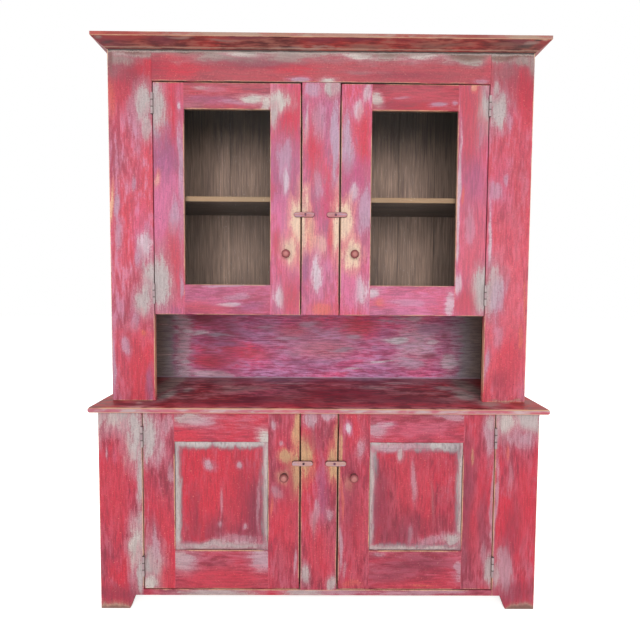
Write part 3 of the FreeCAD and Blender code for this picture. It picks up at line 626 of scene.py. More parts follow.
door_touches = {
    "upper_left_door_hinge_stile": (
        ("bright", 62, 86, 40, 140, 70), ("grey", 14, 88, 40, 110, 95), ("violet", 40, 66, 45, 110, 70),
        ("lavender", 93, 52, 16, 320, 70), ("peach", 8, 58.5, 8, 35, 90), ("pink", 40, 46, 60, 120, 80),
        ("lavender", 66, 42, 34, 80, 75), ("red", 62, 22, 40, 140, 80), ("grey", 20, 13, 45, 120, 98),
        ("lavender", 90, 13, 8, 50, 60), ("white", 93, 90, 8, 20, 70),
    ),
    "upper_left_door_top_rail": (
        ("violet", 30, 30, 120, 16, 35), ("grey", 22, 80, 30, 9, 60), ("lavender", 60, 25, 80, 12, 35),
        ("pale", 80, 42, 70, 20, 95), ("lavender", 35, 75, 40, 12, 50), ("pale", 95, 20, 20, 30, 80),
        ("red", 45, 75, 80, 12, 50),
    ),
    "upper_left_door_latch_stile": (
        ("bright", 65, 86, 50, 120, 70), ("pale", 20, 92, 50, 45, 95), ("grey", 14, 86, 16, 50, 80),
        ("violet", 40, 62, 60, 120, 60), ("lavender", 50, 66, 36, 100, 60), ("white", 50, 58, 13, 50, 60),
        ("pink", 40, 40, 50, 80, 60), ("cream", 92, 40, 32, 120, 95), ("cream", 62, 29, 34, 55, 85),
        ("red", 20, 33, 12, 45, 60), ("white", 30, 8, 20, 60, 85), ("red", 70, 8, 40, 70, 60),
    ),
    "upper_left_door_bottom_rail": (
        ("lavender", 60, 96, 160, 8, 60), ("pink", 30, 50, 100, 20, 30), ("white", 53, 40, 60, 10, 70),
        ("lavender", 62, 60, 70, 10, 40), ("red", 20, 25, 100, 24, 50), ("violet", 80, 30, 60, 20, 40),
    ),
    "upper_right_door_latch_stile": (
        ("white", 58, 89, 22, 45, 70), ("white", 80, 96, 16, 40, 60), ("lavender", 20, 72, 24, 130, 85),
        ("bright", 75, 74, 24, 120, 70), ("magenta", 50, 55, 60, 90, 80), ("white", 40, 53, 20, 50, 60),
        ("lavender", 80, 45, 30, 120, 70), ("lavender", 30, 34, 30, 100, 35),
        ("white", 70, 11, 28, 65, 80), ("pink", 30, 12, 40, 80, 60), ("cream", 10, 41, 36, 90, 95),
        ("cream", 40, 26.5, 40, 60, 95),
    ),
    "upper_right_door_top_rail": (
        ("red", 50, 60, 200, 30, 50), ("pale", 4, 45, 26, 34, 80), ("lavender", 32, 50, 40, 6, 30),
        ("lavender", 74, 14, 35, 7, 60), ("lavender", 93, 20, 12, 10, 50), ("deep", 30, 20, 100, 16, 35),
    ),
    "upper_right_door_hinge_stile": (
        ("grey", 80, 90, 45, 100, 97), ("lavender", 72, 79, 18, 60, 70), ("red", 20, 95, 50, 60, 80),
        ("peach", 45, 98.5, 10, 20, 90), ("red", 35, 80, 50, 160, 75), ("blush", 50, 32, 80, 220, 60),
        ("violet", 50, 57, 50, 80, 30), ("lavender", 45, 40, 30, 80, 35), ("orange", 20, 53, 6, 30, 40),
        ("white", 4, 50, 8, 300, 60), ("grey", 85, 12, 38, 100, 97), ("red", 35, 6, 35, 60, 60),
        ("white", 14, 14, 14, 40, 60),
    ),
    "upper_right_door_bottom_rail": (
        ("white", 4, 80, 30, 24, 75), ("orange", 14, 42, 20, 22, 75), ("lavender", 48, 42, 80, 16, 70),
        ("pink", 60, 50, 150, 40, 40), ("white", 95, 40, 18, 60, 60),
    ),
    "lower_left_door_hinge_stile": (
        ("veil", 35, 84, 40, 100, 70), ("grey", 20, 87, 42, 100, 95), ("veil", 70, 93, 30, 40, 50),
        ("veil", 90, 66, 12, 50, 50), ("bright", 70, 30, 30, 140, 60), ("grey", 22, 12, 50, 110, 97),
        ("veil", 36, 26, 20, 90, 60), ("pale", 20, 4, 34, 35, 90), ("bright", 75, 6, 30, 50, 60),
    ),
    "lower_left_door_top_rail": (
        ("grey", 16, 72, 70, 24, 90), ("veil", 30, 62, 60, 20, 50), ("pale", 97, 16, 35, 45, 95),
        ("bright", 12, 20, 60, 30, 60),
    ),
    "lower_left_door_latch_stile": (
        ("veil", 20, 94, 16, 18, 70), ("ochre", 92, 90, 16, 90, 80), ("ochre", 66, 75.5, 34, 30, 90),
        ("ochre", 90, 68, 22, 90, 90), ("peach", 46, 64, 26, 30, 55), ("veil", 45, 82.5, 10, 14, 60),
        ("veil", 30, 55, 24, 26, 50), ("orange", 12, 46, 5, 40, 50), ("bright", 60, 36, 40, 130, 50),
        ("veil", 90, 17, 8, 50, 60), ("deep", 55, 62, 50, 80, 25),
    ),
    "lower_left_door_bottom_rail": (
        ("grey", 9, 76, 52, 50, 90), ("veil", 15, 70, 50, 50, 50), ("veil", 92, 76, 55, 50, 90),
        ("bright", 50, 20, 160, 50, 60),
    ),
    "lower_right_door_latch_stile": (
        ("white", 30, 91, 13, 26, 85), ("veil", 80, 80, 22, 40, 60), ("peach", 35, 61, 22, 30, 35),
        ("ochre", 3, 76, 7, 100, 70), ("veil", 4, 23, 8, 90, 70), ("veil", 20, 12, 10, 40, 40),
        ("bright", 60, 36, 40, 160, 40), ("orange", 50, 3, 40, 14, 30), ("deep", 40, 50, 30, 140, 35),
        ("orange", 8, 50, 5, 80, 40),
    ),
    "lower_right_door_top_rail": (
        ("veil", 8, 45, 42, 34, 85), ("veil", 82, 86, 80, 18, 60), ("white", 20, 60, 30, 14, 50),
        ("rose", 50, 40, 120, 30, 40),
    ),
    "lower_right_door_hinge_stile": (
        ("veil", 82, 87, 24, 90, 70), ("grey", 86, 95, 20, 40, 50), ("veil", 97, 50, 7, 260, 60),
        ("bright", 40, 35, 30, 120, 40), ("deep", 20, 55, 20, 180, 50), ("deep", 70, 40, 16, 140, 35),
        ("veil", 70, 20, 16, 50, 35), ("grey", 90, 11, 20, 70, 80), ("ochre", 30, 76, 3, 30, 40),
    ),
    "lower_right_door_bottom_rail": (
        ("veil", 12, 90, 30, 10, 50), ("deep", 50, 65, 120, 30, 40), ("bright", 50, 10, 160, 24, 40),
        ("veil", 98, 50, 18, 40, 60), ("orange", 60, 10, 50, 6, 35), ("deep", 20, 30, 80, 20, 30),
    ),
    "lower_left_door_panel": (
        ("pale", 100, 50, 14, 300, 60), ("grey", 50, 1, 200, 12, 50), ("bright", 34, 50, 50, 130, 40),
        ("deep", 86, 30, 30, 120, 60), ("deep", 72, 36, 50, 160, 40), ("deep", 40, 20, 30, 50, 35),
        ("deep", 62, 16, 70, 30, 40), ("bright", 60, 45, 30, 130, 40), ("deep", 20, 30, 20, 100, 35),
        ("veil", 38, 79, 20, 20, 80), ("veil", 70, 79, 14, 16, 80), ("veil", 48, 46, 8, 70, 40),
        ("veil", 74, 22, 10, 14, 60), ("veil", 48, 24, 10, 20, 50), ("grey", 55, 5, 180, 18, 70),
        ("veil", 70, 11, 80, 20, 40), ("veil", 90, 45, 12, 140, 40),
    ),
    "lower_right_door_panel": (
        ("pale", 100, 50, 14, 300, 70), ("pale", 0, 50, 12, 300, 60), ("pale", 50, 1, 200, 12, 60),
        ("bright", 40, 60, 50, 120, 50), ("deep", 12, 40, 20, 120, 50), ("deep", 50, 26, 90, 40, 35),
        ("veil", 48, 62, 10, 70, 50), ("veil", 30, 95, 90, 14, 70), ("grey", 34, 88, 14, 30, 70),
        ("mauve", 68, 45, 8, 80, 40), ("grey", 90, 10, 50, 22, 90), ("veil", 44, 14, 12, 40, 50),
        ("veil", 66, 10, 50, 20, 50), ("bright", 62, 45, 30, 100, 40), ("deep", 30, 14, 60, 30, 40),
    ),
}

# Touches on the niche's back. The broad white touch at the right and the broad lavender one in the middle are
# painted light, the broad deep one at the left is painted shade, and the dark line all along the top is a
# painted shadow under the upper case
niche_touches = (
    ("crimson", 15, 80, 50, 24, 70), ("bright", 17, 22, 80, 30, 70), ("bright", 30, 34, 90, 30, 50),
    ("bright", 62, 70, 80, 40, 60), ("bright", 42, 66, 60, 30, 50), ("blush", 52, 40, 120, 30, 50),
    ("steel", 50, 95, 700, 26, 70), ("soot", 50, 100, 800, 12, 60), ("white", 15, 5, 160, 20, 60),
    ("white", 80, 50, 120, 120, 40), ("lavender", 78, 20, 100, 40, 60), ("lavender", 50, 50, 220, 100, 30),
    ("white", 78, 85, 80, 10, 50), ("deep", 20, 50, 100, 200, 42), ("lavender", 84, 70, 70, 40, 40),
    ("violet", 22, 46, 90, 12, 60), ("violet", 44, 24, 70, 10, 60), ("steel", 20, 58, 80, 12, 60),
    ("lavender", 33, 72, 60, 14, 50), ("lavender", 40, 54, 80, 12, 50), ("lavender", 47, 76, 50, 14, 60),
    ("steel", 56, 40, 80, 10, 50), ("lavender", 60, 56, 40, 14, 70), ("white", 74, 54, 70, 16, 90),
    ("lavender", 70, 80, 60, 8, 60), ("white", 70, 22, 80, 8, 80), ("white", 60, 13, 60, 6, 60),
    ("violet", 83, 70, 50, 20, 40), ("deep", 84, 30, 40, 14, 60), ("crimson", 88, 60, 14, 16, 60),
    ("crimson", 89, 30, 14, 14, 60), ("white", 85, 50, 40, 16, 60), ("white", 13, 62, 60, 12, 70),
    ("steel", 2, 50, 110, 600, 100), ("steel", 98, 50, 130, 600, 100), ("white", 8.5, 50, 45, 300, 45),
    ("white", 90, 22, 45, 50, 50), ("lavender", 91.5, 60, 30, 60, 30), ("white", 93, 90, 30, 30, 35),
    ("white", 10, 20, 30, 12, 60), ("white", 10, 64, 30, 10, 60), ("dark", 0, 50, 70, 600, 100),
    ("dark", 100, 50, 80, 600, 100), ("pale", 3, 30, 50, 4, 50), ("pale", 4, 70, 40, 4, 50),
)

# Touches on the countertop, where up means back. The ash and grey touches near both ends are rubbed wood,
# painted paler than it is, partly as painted light for the shade there
counter_touches = (
    ("mauve", 50, 95, 900, 90, 90), ("mauve", 24, 80, 80, 60, 70), ("mauve", 75, 80, 100, 70, 70),
    ("crimson", 52, 86, 300, 40, 70), ("crimson", 56, 42, 160, 90, 80), ("crimson", 70, 24, 100, 60, 60),
    ("crimson", 36, 26, 100, 50, 60), ("bright", 50, 10, 700, 30, 60), ("ash", 10.5, 60, 55, 400, 97),
    ("grey", 14, 34, 30, 120, 90), ("grey", 17, 50, 30, 50, 70), ("ash", 89, 60, 60, 400, 97),
    ("grey", 85, 40, 45, 100, 80), ("grey", 82, 62, 50, 50, 70), ("grey", 30, 55, 120, 90, 50),
    ("grey", 42, 76, 100, 30, 60), ("grey", 64, 62, 90, 50, 50), ("grey", 70, 78, 90, 30, 60),
    ("rose", 36, 44, 120, 50, 50), ("pale", 10, 12, 20, 30, 60), ("pale", 93, 20, 20, 30, 60),
    ("brick", 2, 40, 80, 400, 80), ("brick", 98, 40, 80, 400, 70), ("wine", 30, 15, 120, 20, 50),
    ("wine", 8, 10, 100, 20, 50), ("wine", 50, 14, 900, 60, 30), ("steel", 40, 88, 160, 40, 40),
    ("steel", 62, 92, 140, 40, 40), ("brick", 0, 30, 70, 700, 90), ("brick", 100, 30, 70, 700, 90),
    ("wine", 2, 50, 20, 100, 50),
)

# Touches on the cornice's slope and on its fillet
slope_touches = (
    ("wine", 3, 40, 70, 12, 50), ("wine", 93, 60, 50, 12, 50), ("brown", 19, 60, 50, 3, 50),
    ("brown", 28, 50, 50, 3, 40), ("umber", 76, 50, 80, 4, 50), ("umber", 90, 40, 60, 4, 50),
    ("wine", 15, 50, 50, 10, 50), ("wine", 50, 50, 60, 8, 50), ("brick", 98, 60, 40, 20, 70),
    ("brick", 7, 60, 80, 10, 60), ("wine", 60, 70, 140, 8, 60), ("wine", 33, 80, 100, 6, 60),
    ("umber", 60, 25, 70, 4, 50), ("brown", 46, 12, 100, 3, 50), ("brown", 95.5, 40, 22, 5, 70),
    ("soot", 94, 25, 30, 3, 60), ("beige", 98.5, 65, 12, 6, 70), ("soot", 97, 60, 12, 4, 70),
    ("soot", 3, 30, 20, 3, 50), ("brown", 1.5, 60, 12, 5, 50),
)

fillet_touches = (
    ("orange", 5, 100, 90, 90, 50), ("brick", 6, 100, 60, 60, 60), ("beige", 30, 100, 140, 140, 70),
    ("beige", 55, 100, 160, 160, 60), ("brick", 83, 100, 70, 70, 70), ("beige", 94, 100, 80, 80, 80),
)

# Below the cornice: the paint, height in mm and cover of the rubbed bands, and the reach of the lines of
# bared undercoat and of painted shadow under the cornice
under_cornice = ("upper_stile_left", "upper_stile_right", "frieze_rail")
bands_below_cornice = (("dull red", 150, 90), ("ash", 34, 95))
bared_reach, cornice_shadow_reach = 0.01, 0.0045

hinge_wear = {"upper": 0.0, "lower": 0.6}

# The panels' fields: the undercoat's width round them, and the painted shade in the grooves
panel_border = 0.021
panel_foot = 0.0252
panel_heads = {"left": 0.022, "right": 0.032}
groove_shade_reach = 0.0032

# Patches on the case sides
side_patches = 9
side_paints = ("grey", "lavender", "bright", "deep", "white")
patch_depths, patch_heights, patch_covers = (0.03, 0.08), (0.08, 0.2), (0.5, 0.9)
side_wear_reach = 0.004

# Boards inside the case: their joints and tints, the painted shade towards the top of the back boards, and
# the painted shade under the shelves
board_seams = {"upper_back_boards": (0.09, 0.234, 0.365, 0.49, 0.61, 0.734, 0.842),
               "lower_back_boards": (0.13, 0.25, 0.38, 0.5, 0.63, 0.75, 0.87)}
seam_blur = 0.0005
board_tints = (0.9, 1.12)
board_joint, board_joint_shade = (0.0008, 0.004), 0.66
top_shade_start, top_shade_full = 0.36, 0.12
top_shade_swing, top_shade_levels = 0.08, (1.08, 0.42)
shelf_underside_shade = 0.4

# Niche, countertop and cornice
niche_streaks, niche_streaks_and_painted_light = (0.36, 0.6), (1.03, 1.32)
niche_foot_reach = 0.006
counter_streaks = (0.72, 1.68)
rim_ragged, rim_covers = (-0.5, 0.1), (0.3, 1.0)
underside_cover = 0.8
slope_streaks = (0.7, 1.3)
slope_share = 0.716
foot_shadow_reach = 0.002
foot_line_up, foot_line_reach = 0.0055, 0.0016
brow_reach = 0.0014


def side_x(name, side):
    """Where a node's left or right side is."""
    low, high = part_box(name)
    return low.x if side == "left" else high.x


def hinge_seam(name, side, worn):
    """The seam beside a door's hinge stile: a dark line of painted shade for the gap, with a worn one where
    asked.
    """
    low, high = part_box(name)
    centre = Vector((side_x(name, side), 0, (low.z + high.z) / 2))
    lines = [("worn", centre, (wear_reach, far, high.z), worn)] if worn else []
    return lines + [("soot", centre, (seam_shade_reach, far, high.z), 0.85)]


def niche_edge(name, side):
    """Worn wood along a stile's edge beside the niche, below the door."""
    foot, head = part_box(name)[0].z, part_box("upper_left_door_bottom_rail")[0].z
    centre = Vector((side_x(name, side), 0, (foot + head) / 2))
    return [("worn", centre, (wear_reach, far, (head - foot) / 2), 0.9)]


def top_band(name):
    """Paint rubbed to the undercoat below the cornice, as the first two touches of a piece."""
    low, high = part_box(name)
    up = 100 * (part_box("cornice_front")[0].z - low.z) / (high.z - low.z)
    return tuple((paint, 50, up, 1000 * far, tall, cover) for paint, tall, cover in bands_below_cornice)


def top_line(name):
    """The undercoat bared all along below the cornice, and a painted shadow line under the cornice where the
    two meet.
    """
    middle = sum(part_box(name), Vector()) / 2
    centre = Vector((middle.x, 0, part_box("cornice_front")[0].z))
    return [("ash", centre, (far, far, bared_reach), 0.8), ("soot", centre, (far, far, cornice_shadow_reach), 0.9)]


def gap_wear_and_shade(name, edges):
    """Worn wood and then a line of painted shade along the edges of a face beside a door's gap."""
    low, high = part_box(name)
    middle, half = (low + high) / 2, (high - low) / 2
    lines = []
    for paint, reach, cover in (("worn", worn_gap, 0.5), ("soot", gap_shade_reach, 0.95)):
        for edge in edges:
            if edge == "bottom":
                lines.append((paint, Vector((middle.x, 0, low.z)), (half.x, far, reach), cover))
            else:
                centre = Vector((side_x(name, edge), 0, middle.z))
                lines.append((paint, centre, (reach, far, half.z), cover))
    return lines


def opening_edge(stile, side, door):
    """The stile's edge beside the door's opening, worn there and faint where the rails meet it."""
    low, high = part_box(stile)
    x, deep = side_x(stile, side), 2 * wear_reach
    foot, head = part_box(door + "bottom_rail")[1].z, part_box(door + "top_rail")[0].z
    whole, opening = Vector((x, low.y, (low.z + high.z) / 2)), Vector((x, low.y, (foot + head) / 2))
    return [("blush", whole, (sight_reach, deep, high.z), 0.45),
            ("worn", opening, (wear_reach, deep, (head - foot) / 2), 0.85)]


def paint_face_frames():
    """The stiles and rails of both face frames, worn at their edges and dark beside the doors' gaps."""
    frames = {
        "upper_stile_left": ("upper", "z", ("left", "bottom"), niche_edge("upper_stile_left", "right")),
        "upper_stile_right": ("upper", "z", ("right", "bottom"), niche_edge("upper_stile_right", "left")),
        "frieze_rail": ("frieze", "x", (), gap_wear_and_shade("frieze_rail", ("bottom",))),
        "upper_centre_stile": ("rose", "z", (), gap_wear_and_shade("upper_centre_stile", ("left", "right"))),
        "lower_stile_left": ("lower", "z", ("left", "right"), []),
        "lower_stile_right": ("lower", "z", ("left", "right"), []),
        "lower_centre_stile": ("lower", "z", (), gap_wear_and_shade("lower_centre_stile", ("left", "right"))),
        "lower_bottom_rail": ("lower", "x", ("bottom", "top"), []),
    }
    for name, (tone, grain, edges, lines) in frames.items():
        touches = frame_touches[name]
        if name in under_cornice:
            touches, lines = top_band(name) + touches, top_line(name) + lines
        dress(name, painted(name, grain, tone, touches, edges, lines=lines))


def paint_doors():
    """The stiles, rails and panels of the four doors."""
    for level, tone in (("upper", "rose"), ("lower", "lower")):
        for side in ("left", "right"):
            door = f"{level}_{side}_door_"
            hinge, latch = door + "hinge_stile", door + "latch_stile"
            inward, outward = ("right", "left") if side == "left" else ("left", "right")
            latch_lines = opening_edge(latch, outward, door)
            hinge_lines = hinge_seam(hinge, outward, hinge_wear[level]) + opening_edge(hinge, inward, door)
            for name, edges, lines in ((latch, (inward, "top", "bottom"), latch_lines),
                                       (hinge, ("top", "bottom"), hinge_lines)):
                dress(name, painted(name, "z", tone, door_touches[name], edges, lines=lines))
            ends = (hinge, latch) if side == "left" else (latch, hinge)
            for name in (door + "top_rail", door + "bottom_rail"):
                edges = ("top",) if name == f"lower_{side}_door_top_rail" else ("top", "bottom")
                box = face_box(name, *ends)
                dress(name, painted(name, "x", rail_tones.get(name, tone), door_touches[name], edges, box))
            if level == "lower":
                dress(door + "panel", panel_paint(side, door, ends))


def panel_paint(side, door, ends):
    """The fielded panel, with the undercoat showing all round its bevel and painted shade in the grooves."""
    name = door + "panel"
    low, high = face_box(name, *ends)
    low.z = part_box(door + "bottom_rail")[1].z
    high.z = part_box(door + "top_rail")[0].z
    middle, half = (low + high) / 2, (high - low) / 2
    inner = (low + Vector((panel_border, 0, panel_foot)), high - Vector((panel_border, 0, panel_heads[side])))
    lines = []
    for sign in (-1, 1):
        side_centre = Vector((middle.x + sign * half.x, 0, middle.z))
        end_centre = Vector((middle.x, 0, middle.z + sign * half.z))
        lines.append(("soot", side_centre, (groove_shade_reach, far, half.z), 0.8))
        lines.append(("soot", end_centre, (half.x, far, groove_shade_reach), 0.8))
    return painted(name, "z", "panel", door_touches[name], (), (low, high), lines, inner)


def paint_cases():
    """The sides, boards, shelves, backs, countertop and cornice."""
    for side, inward in (("left", 1), ("right", -1)):
        for level in ("upper", "lower"):
            name = f"{level}_side_{side}"
            dress(name, side_paint(name, level, inward))
    for name in ("upper_bottom_board", "upper_top_board", "lower_bottom_board", "lower_top_stretcher"):
        dress(name, board(name, "x"))
    for name in ("upper_shelf", "lower_shelf"):
        dress(name, shelf_wood(name))
    for name in ("upper_back_boards", "lower_back_boards"):
        dress(name, back_wood(name))
    dress("niche_back_boards", niche_paint("niche_back_boards"))
    dress("countertop", counter_paint("countertop"))
    dress("cornice_front", cornice_paint("cornice_front", "x"))
    dress("cornice_returns", cornice_paint("cornice_returns", "y"))


def side_paint(name, tone, inward):
    """A case side: painted outside with rubbed patches near its edges, bare inside."""
    low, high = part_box(name)
    seeded = random.Random(name)
    material, g, coordinates, brush = start_material(name, "z")
    colour = coat(g, brush, tone)
    for _ in range(side_patches):
        paint = seeded.choice(side_paints)
        back = seeded.choice((low.y, high.y, seeded.uniform(low.y, high.y)))
        centre = (0, back, seeded.uniform(low.z, high.z))
        reach = (far, seeded.uniform(*patch_depths), seeded.uniform(*patch_heights))
        cover = seeded.uniform(*patch_covers)
        colour = lay(g, colour, brush["Warped"], brush, touch, centre, reach, paint, cover)
    middle = (low.z + high.z) / 2
    lines = [("worn", Vector((0, y, middle)), (far, side_wear_reach, high.z), 0.7) for y in (low.y, high.y)]
    colour = lined(g, colour, coordinates["Object"], brush, lines)
    colour = specked(g, brush, colour)
    end_material(g, bare_within(g, colour, coordinates, brush, (inward, 0, 0)), brush)
    return material


def shelf_wood(name):
    """A shelf: old pine inside, with painted shade darkening its underside, and a paler front edge."""
    material, g, coordinates, brush = start_material(name, "x", length=long_grain)
    # Painted shade: the underside is darker than the top
    shade = facing(g, coordinates, "z", "shelf top", shelf_underside_shade, 1.0)
    aged_and_shaded = g.scaled(pine(g, brush, "pine_light", "pine_dark"), shade)
    edge = pine(g, brush, "shelf_edge", "bare_light")
    colour = g.mix(facing(g, coordinates, "y", "shelf front"), aged_and_shaded, edge)
    end_material(g, colour, brush, roughness=(0.6, 0.85))
    return material


def back_wood(name):
    """Upright boards, each with its own tint and dark at its joints: brown inside, with painted shade
    darkening them towards the top and a little painted light below it, greyer behind.
    """
    material, g, coordinates, brush = start_material(name, "z", length=long_grain)
    low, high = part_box(name)
    x, _, z = g.parts(coordinates["Object"])
    seeded = random.Random(name)
    tint, joints = 1.0, 1.0
    for share in board_seams[name]:
        seam = low.x + share * (high.x - low.x)
        tint = g.smooth(x, seam - seam_blur, seam + seam_blur, tint, seeded.uniform(*board_tints))
        away = g.math("ABSOLUTE", g.math("SUBTRACT", x, seam))
        joints = g.math("MULTIPLY", joints, g.smooth(away, *board_joint, board_joint_shade, 1.0))
    tint = g.math("MULTIPLY", tint, joints)
    # Painted shade: darker towards the top over a ragged edge, a little lighter below it
    height = g.math("MULTIPLY_ADD", brush["Ragged"], top_shade_swing, z)
    painted_top_shade = g.smooth(height, high.z - top_shade_start, high.z - top_shade_full, *top_shade_levels)
    inside = g.scaled(pine(g, brush, "pine_light", "pine_dark"), g.math("MULTIPLY", tint, painted_top_shade))
    behind = g.scaled(pine(g, brush), tint)
    colour = g.mix(facing(g, coordinates, "y", "back"), inside, behind)
    end_material(g, colour, brush, roughness=(0.65, 0.9))
    return material


def niche_paint(name):
    """The niche's back: brushed red over blue-grey, worn to dark wood at both ends, with painted light and
    painted shade over it.
    """
    material, g, coordinates, brush = start_material(name, "x")
    colour = touched(g, coat(g, brush, "niche"), brush, face_box(name), niche_touches)
    # The streaks also brighten the whole back: painted light for the shade it stands in
    colour = g.scaled(specked(g, brush, colour), g.smooth(brush["Streak"], *niche_streaks, *niche_streaks_and_painted_light))
    foot = Vector((0, 0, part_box("countertop")[1].z))
    lines = [("lavender", foot, (far, far, niche_foot_reach), 0.8)]
    colour = lined(g, colour, coordinates["Object"], brush, lines)
    end_material(g, bare_within(g, colour, coordinates, brush), brush)
    return material


def counter_paint(name):
    """The countertop: dark red on top, a pale rubbed nosing and a bare underside."""
    material, g, coordinates, brush = start_material(name, "x", level_depth)
    top = touched(g, coat(g, brush, "counter"), brush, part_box(name), counter_touches, up="y")
    top = streaked(g, brush, top, *counter_streaks)
    colour = g.mix(facing(g, coordinates, "z", "counter top"), coat(g, brush, "nosing"), top)
    rim = g.math("MULTIPLY", *(facing(g, coordinates, "z", turn) for turn in ("counter rim", "below top")))
    rim = g.math("MULTIPLY", rim, g.smooth(brush["Ragged"], *rim_ragged, *rim_covers))
    colour = g.mix(rim, colour, linear("worn"))
    under = facing(g, coordinates, "z", "counter underside", 0.0, underside_cover)
    colour = g.mix(under, colour, linear("peach"))
    colour = g.mix(facing(g, coordinates, "z", "flat underside"), colour, pine(g, brush))
    end_material(g, colour, brush, roughness=(0.42, 0.6), sheen=0.3)
    return material


def cornice_paint(name, grain):
    """The cornice: brown-red slope, pale rubbed fillet and a bare top."""
    material, g, coordinates, brush = start_material(name, grain)
    point = coordinates["Object"]
    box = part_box("cornice_front")
    low, high = box
    slope = streaked(g, brush, coat(g, brush, "cornice"), *slope_streaks)
    slope = touched(g, slope, brush, box, slope_touches)
    above = low + Vector((0, 0, foot_line_up))
    # A painted shadow line along the cornice's foot, and a beige line just above it
    slope = lined(g, slope, point, brush, [("soot", low, (far, far, foot_shadow_reach), 0.9),
                                           ("beige", above, (far, far, foot_line_reach), 0.5)])
    fillet = touched(g, coat(g, brush, "fillet"), brush, box, fillet_touches)
    colour = g.mix(facing(g, coordinates, "z", "fillet"), slope, fillet)
    brow = Vector((0, 0, low.z + slope_share * (high.z - low.z)))
    colour = lined(g, colour, point, brush, [("worn", brow, (far, far, brow_reach), 0.6)])
    bare = g.math("MAXIMUM", *(facing(g, coordinates, axis, "cornice bare") for axis in ("z", "y")))
    end_material(g, g.mix(bare, colour, pine(g, brush)), brush)
    return material


# Glass and hardware

ripple_waves, ripple_depth = 9.0, 0.001
film_waves, film_spread = 30.0, (0.3, 0.7)
glass_cover = 0.012
pit_spread = (0.35, 0.65)
screw_paint_spread = (-0.45, 0.15)
hinge_height = 0.076
hinge_streaks, hinge_bared = (0.4, 0.6), (0.1, 0.9)
knuckle_joint, knuckle_dirt = (0.003, 0.0015), 0.7
knob_swing = 0.002
# Depths from the knob's front: its rubbed crown, and the painted shade behind its widest point
crown_depths, knob_foot_depths = (0.0006, 0.0034), (0.0045, 0.0095)
knob_clouds, knob_cloud_cover = (0.5, 0.7), 0.35
button_clouds = (0.4, 0.6)
button_streaks, button_streak_cover = (0.5, 0.62), 0.7

# A knob, in shares of its radius: its base, hollow neck and hidden stem. In shares of its reach from the
# door: how far the stem goes in, the hollow, the widest place and the ball below it
knob_rounds = 56
knob_base, knob_neck, knob_stem = 0.78, 0.47, 0.31
knob_sunk, knob_hollow, knob_widest, knob_under_ball = 0.62, 0.19, 0.63, 0.3
knob_base_edge = ((0.0003, 0.05), (-0.0004, 0.09), (-0.0022, 0.115))
knob_hollow_steps, knob_ball_steps = 6, 25
knob_ball_start, knob_ball_turn = 0.38, 0.88
knob_crown_hole = 0.0006

# A turn button, in metres: the hole for its screw, the eased edges and the sinking for the screw's head
button_rounds = 20
button_hole = 0.00231
button_back_ease, button_back_rise = 0.0012, 0.001
button_ease, button_ease_steps = 0.0026, 4
button_sink, button_sink_foot, button_sink_depth = 0.0047, 0.0023, 0.0027


def glass():
    """Thin clear window glass, which only dims what is behind it a little."""
    material, g, coordinates = new_material("window_glass")
    point = coordinates["Object"]
    ripple = g.noise(point, ripple_waves, 1.0)
    relief = g.node("ShaderNodeBump", {"Strength": 0.05, "Distance": ripple_depth, "Height": ripple})
    film = g.smooth(g.noise(point, film_waves), *film_spread)
    film = g.mix(film, linear("film_light"), linear("film_dark"))
    inputs = {"Base Color": film, "Roughness": 0.05, "Alpha": glass_cover, "Normal": relief.outputs[0]}
    g.surface(g.node("ShaderNodeBsdfPrincipled", inputs).outputs[0])
    return material


def old_iron(g, coordinates):
    """Dark pitted iron."""
    pits = g.noise(coordinates["Object"], *pit_noise)
    return g.mix(g.smooth(pits, *pit_spread), linear("soot"), linear("iron"))


def screw_paint(name):
    """Old iron with some of the case's paint left on it."""
    material, g, coordinates, brush = start_material(name, "z")
    kept = g.smooth(brush["Ragged"], *screw_paint_spread)
    colour = g.mix(kept, old_iron(g, coordinates), linear("violet"))
    end_material(g, colour, brush, roughness=(0.4, 0.65), bump=0.5)
    return material


def hinge_paint(name):
    """Butt hinges brushed over with the case, dark iron bared at the joints of the knuckles."""
    material, g, coordinates, brush = start_material(name, "z")
    bared = old_iron(g, coordinates)
    colour = g.mix(g.smooth(brush["Streak"], *hinge_streaks), linear("hinge_dull"), linear("hinge_pale"))
    colour = g.mix(g.smooth(brush["Ragged"], *hinge_bared), colour, bared)
    colour = g.mix(facing(g, coordinates, "y", "hinge front"), bared, colour)
    height = g.parts(coordinates["Object"])[2]
    for level in ("upper", "lower"):
        low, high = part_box(f"{level}_left_door_hinge_leaves")
        for middle in (low.z + hinge_height / 2, high.z - hinge_height / 2):
            for joint in (middle - hinge_height / 6, middle + hinge_height / 6):
                away = g.math("ABSOLUTE", g.math("SUBTRACT", height, joint))
                dirt = g.smooth(away, *knuckle_joint, 0.0, knuckle_dirt)
                colour = g.mix(dirt, colour, linear("soot"))
    end_material(g, colour, brush, roughness=(0.45, 0.7), bump=0.4)
    return material


def paint_hardware():
    """The panes with their beads, the hinges and the screws of the turn buttons."""
    window = glass()
    for side in ("left", "right"):
        dress(f"upper_{side}_door_glass", window)
        dress(f"upper_{side}_door_beads", board(f"upper_{side}_door_beads", "z"))
        for level in ("upper", "lower"):
            name = f"{level}_{side}_door_hinge_leaves"
            dress(name, hinge_paint(name))
    dress("hinge_frame_leaves", hinge_paint("hinge_frame_leaves"))
    dress("turn_button_screws", screw_paint("turn_button_screws"))


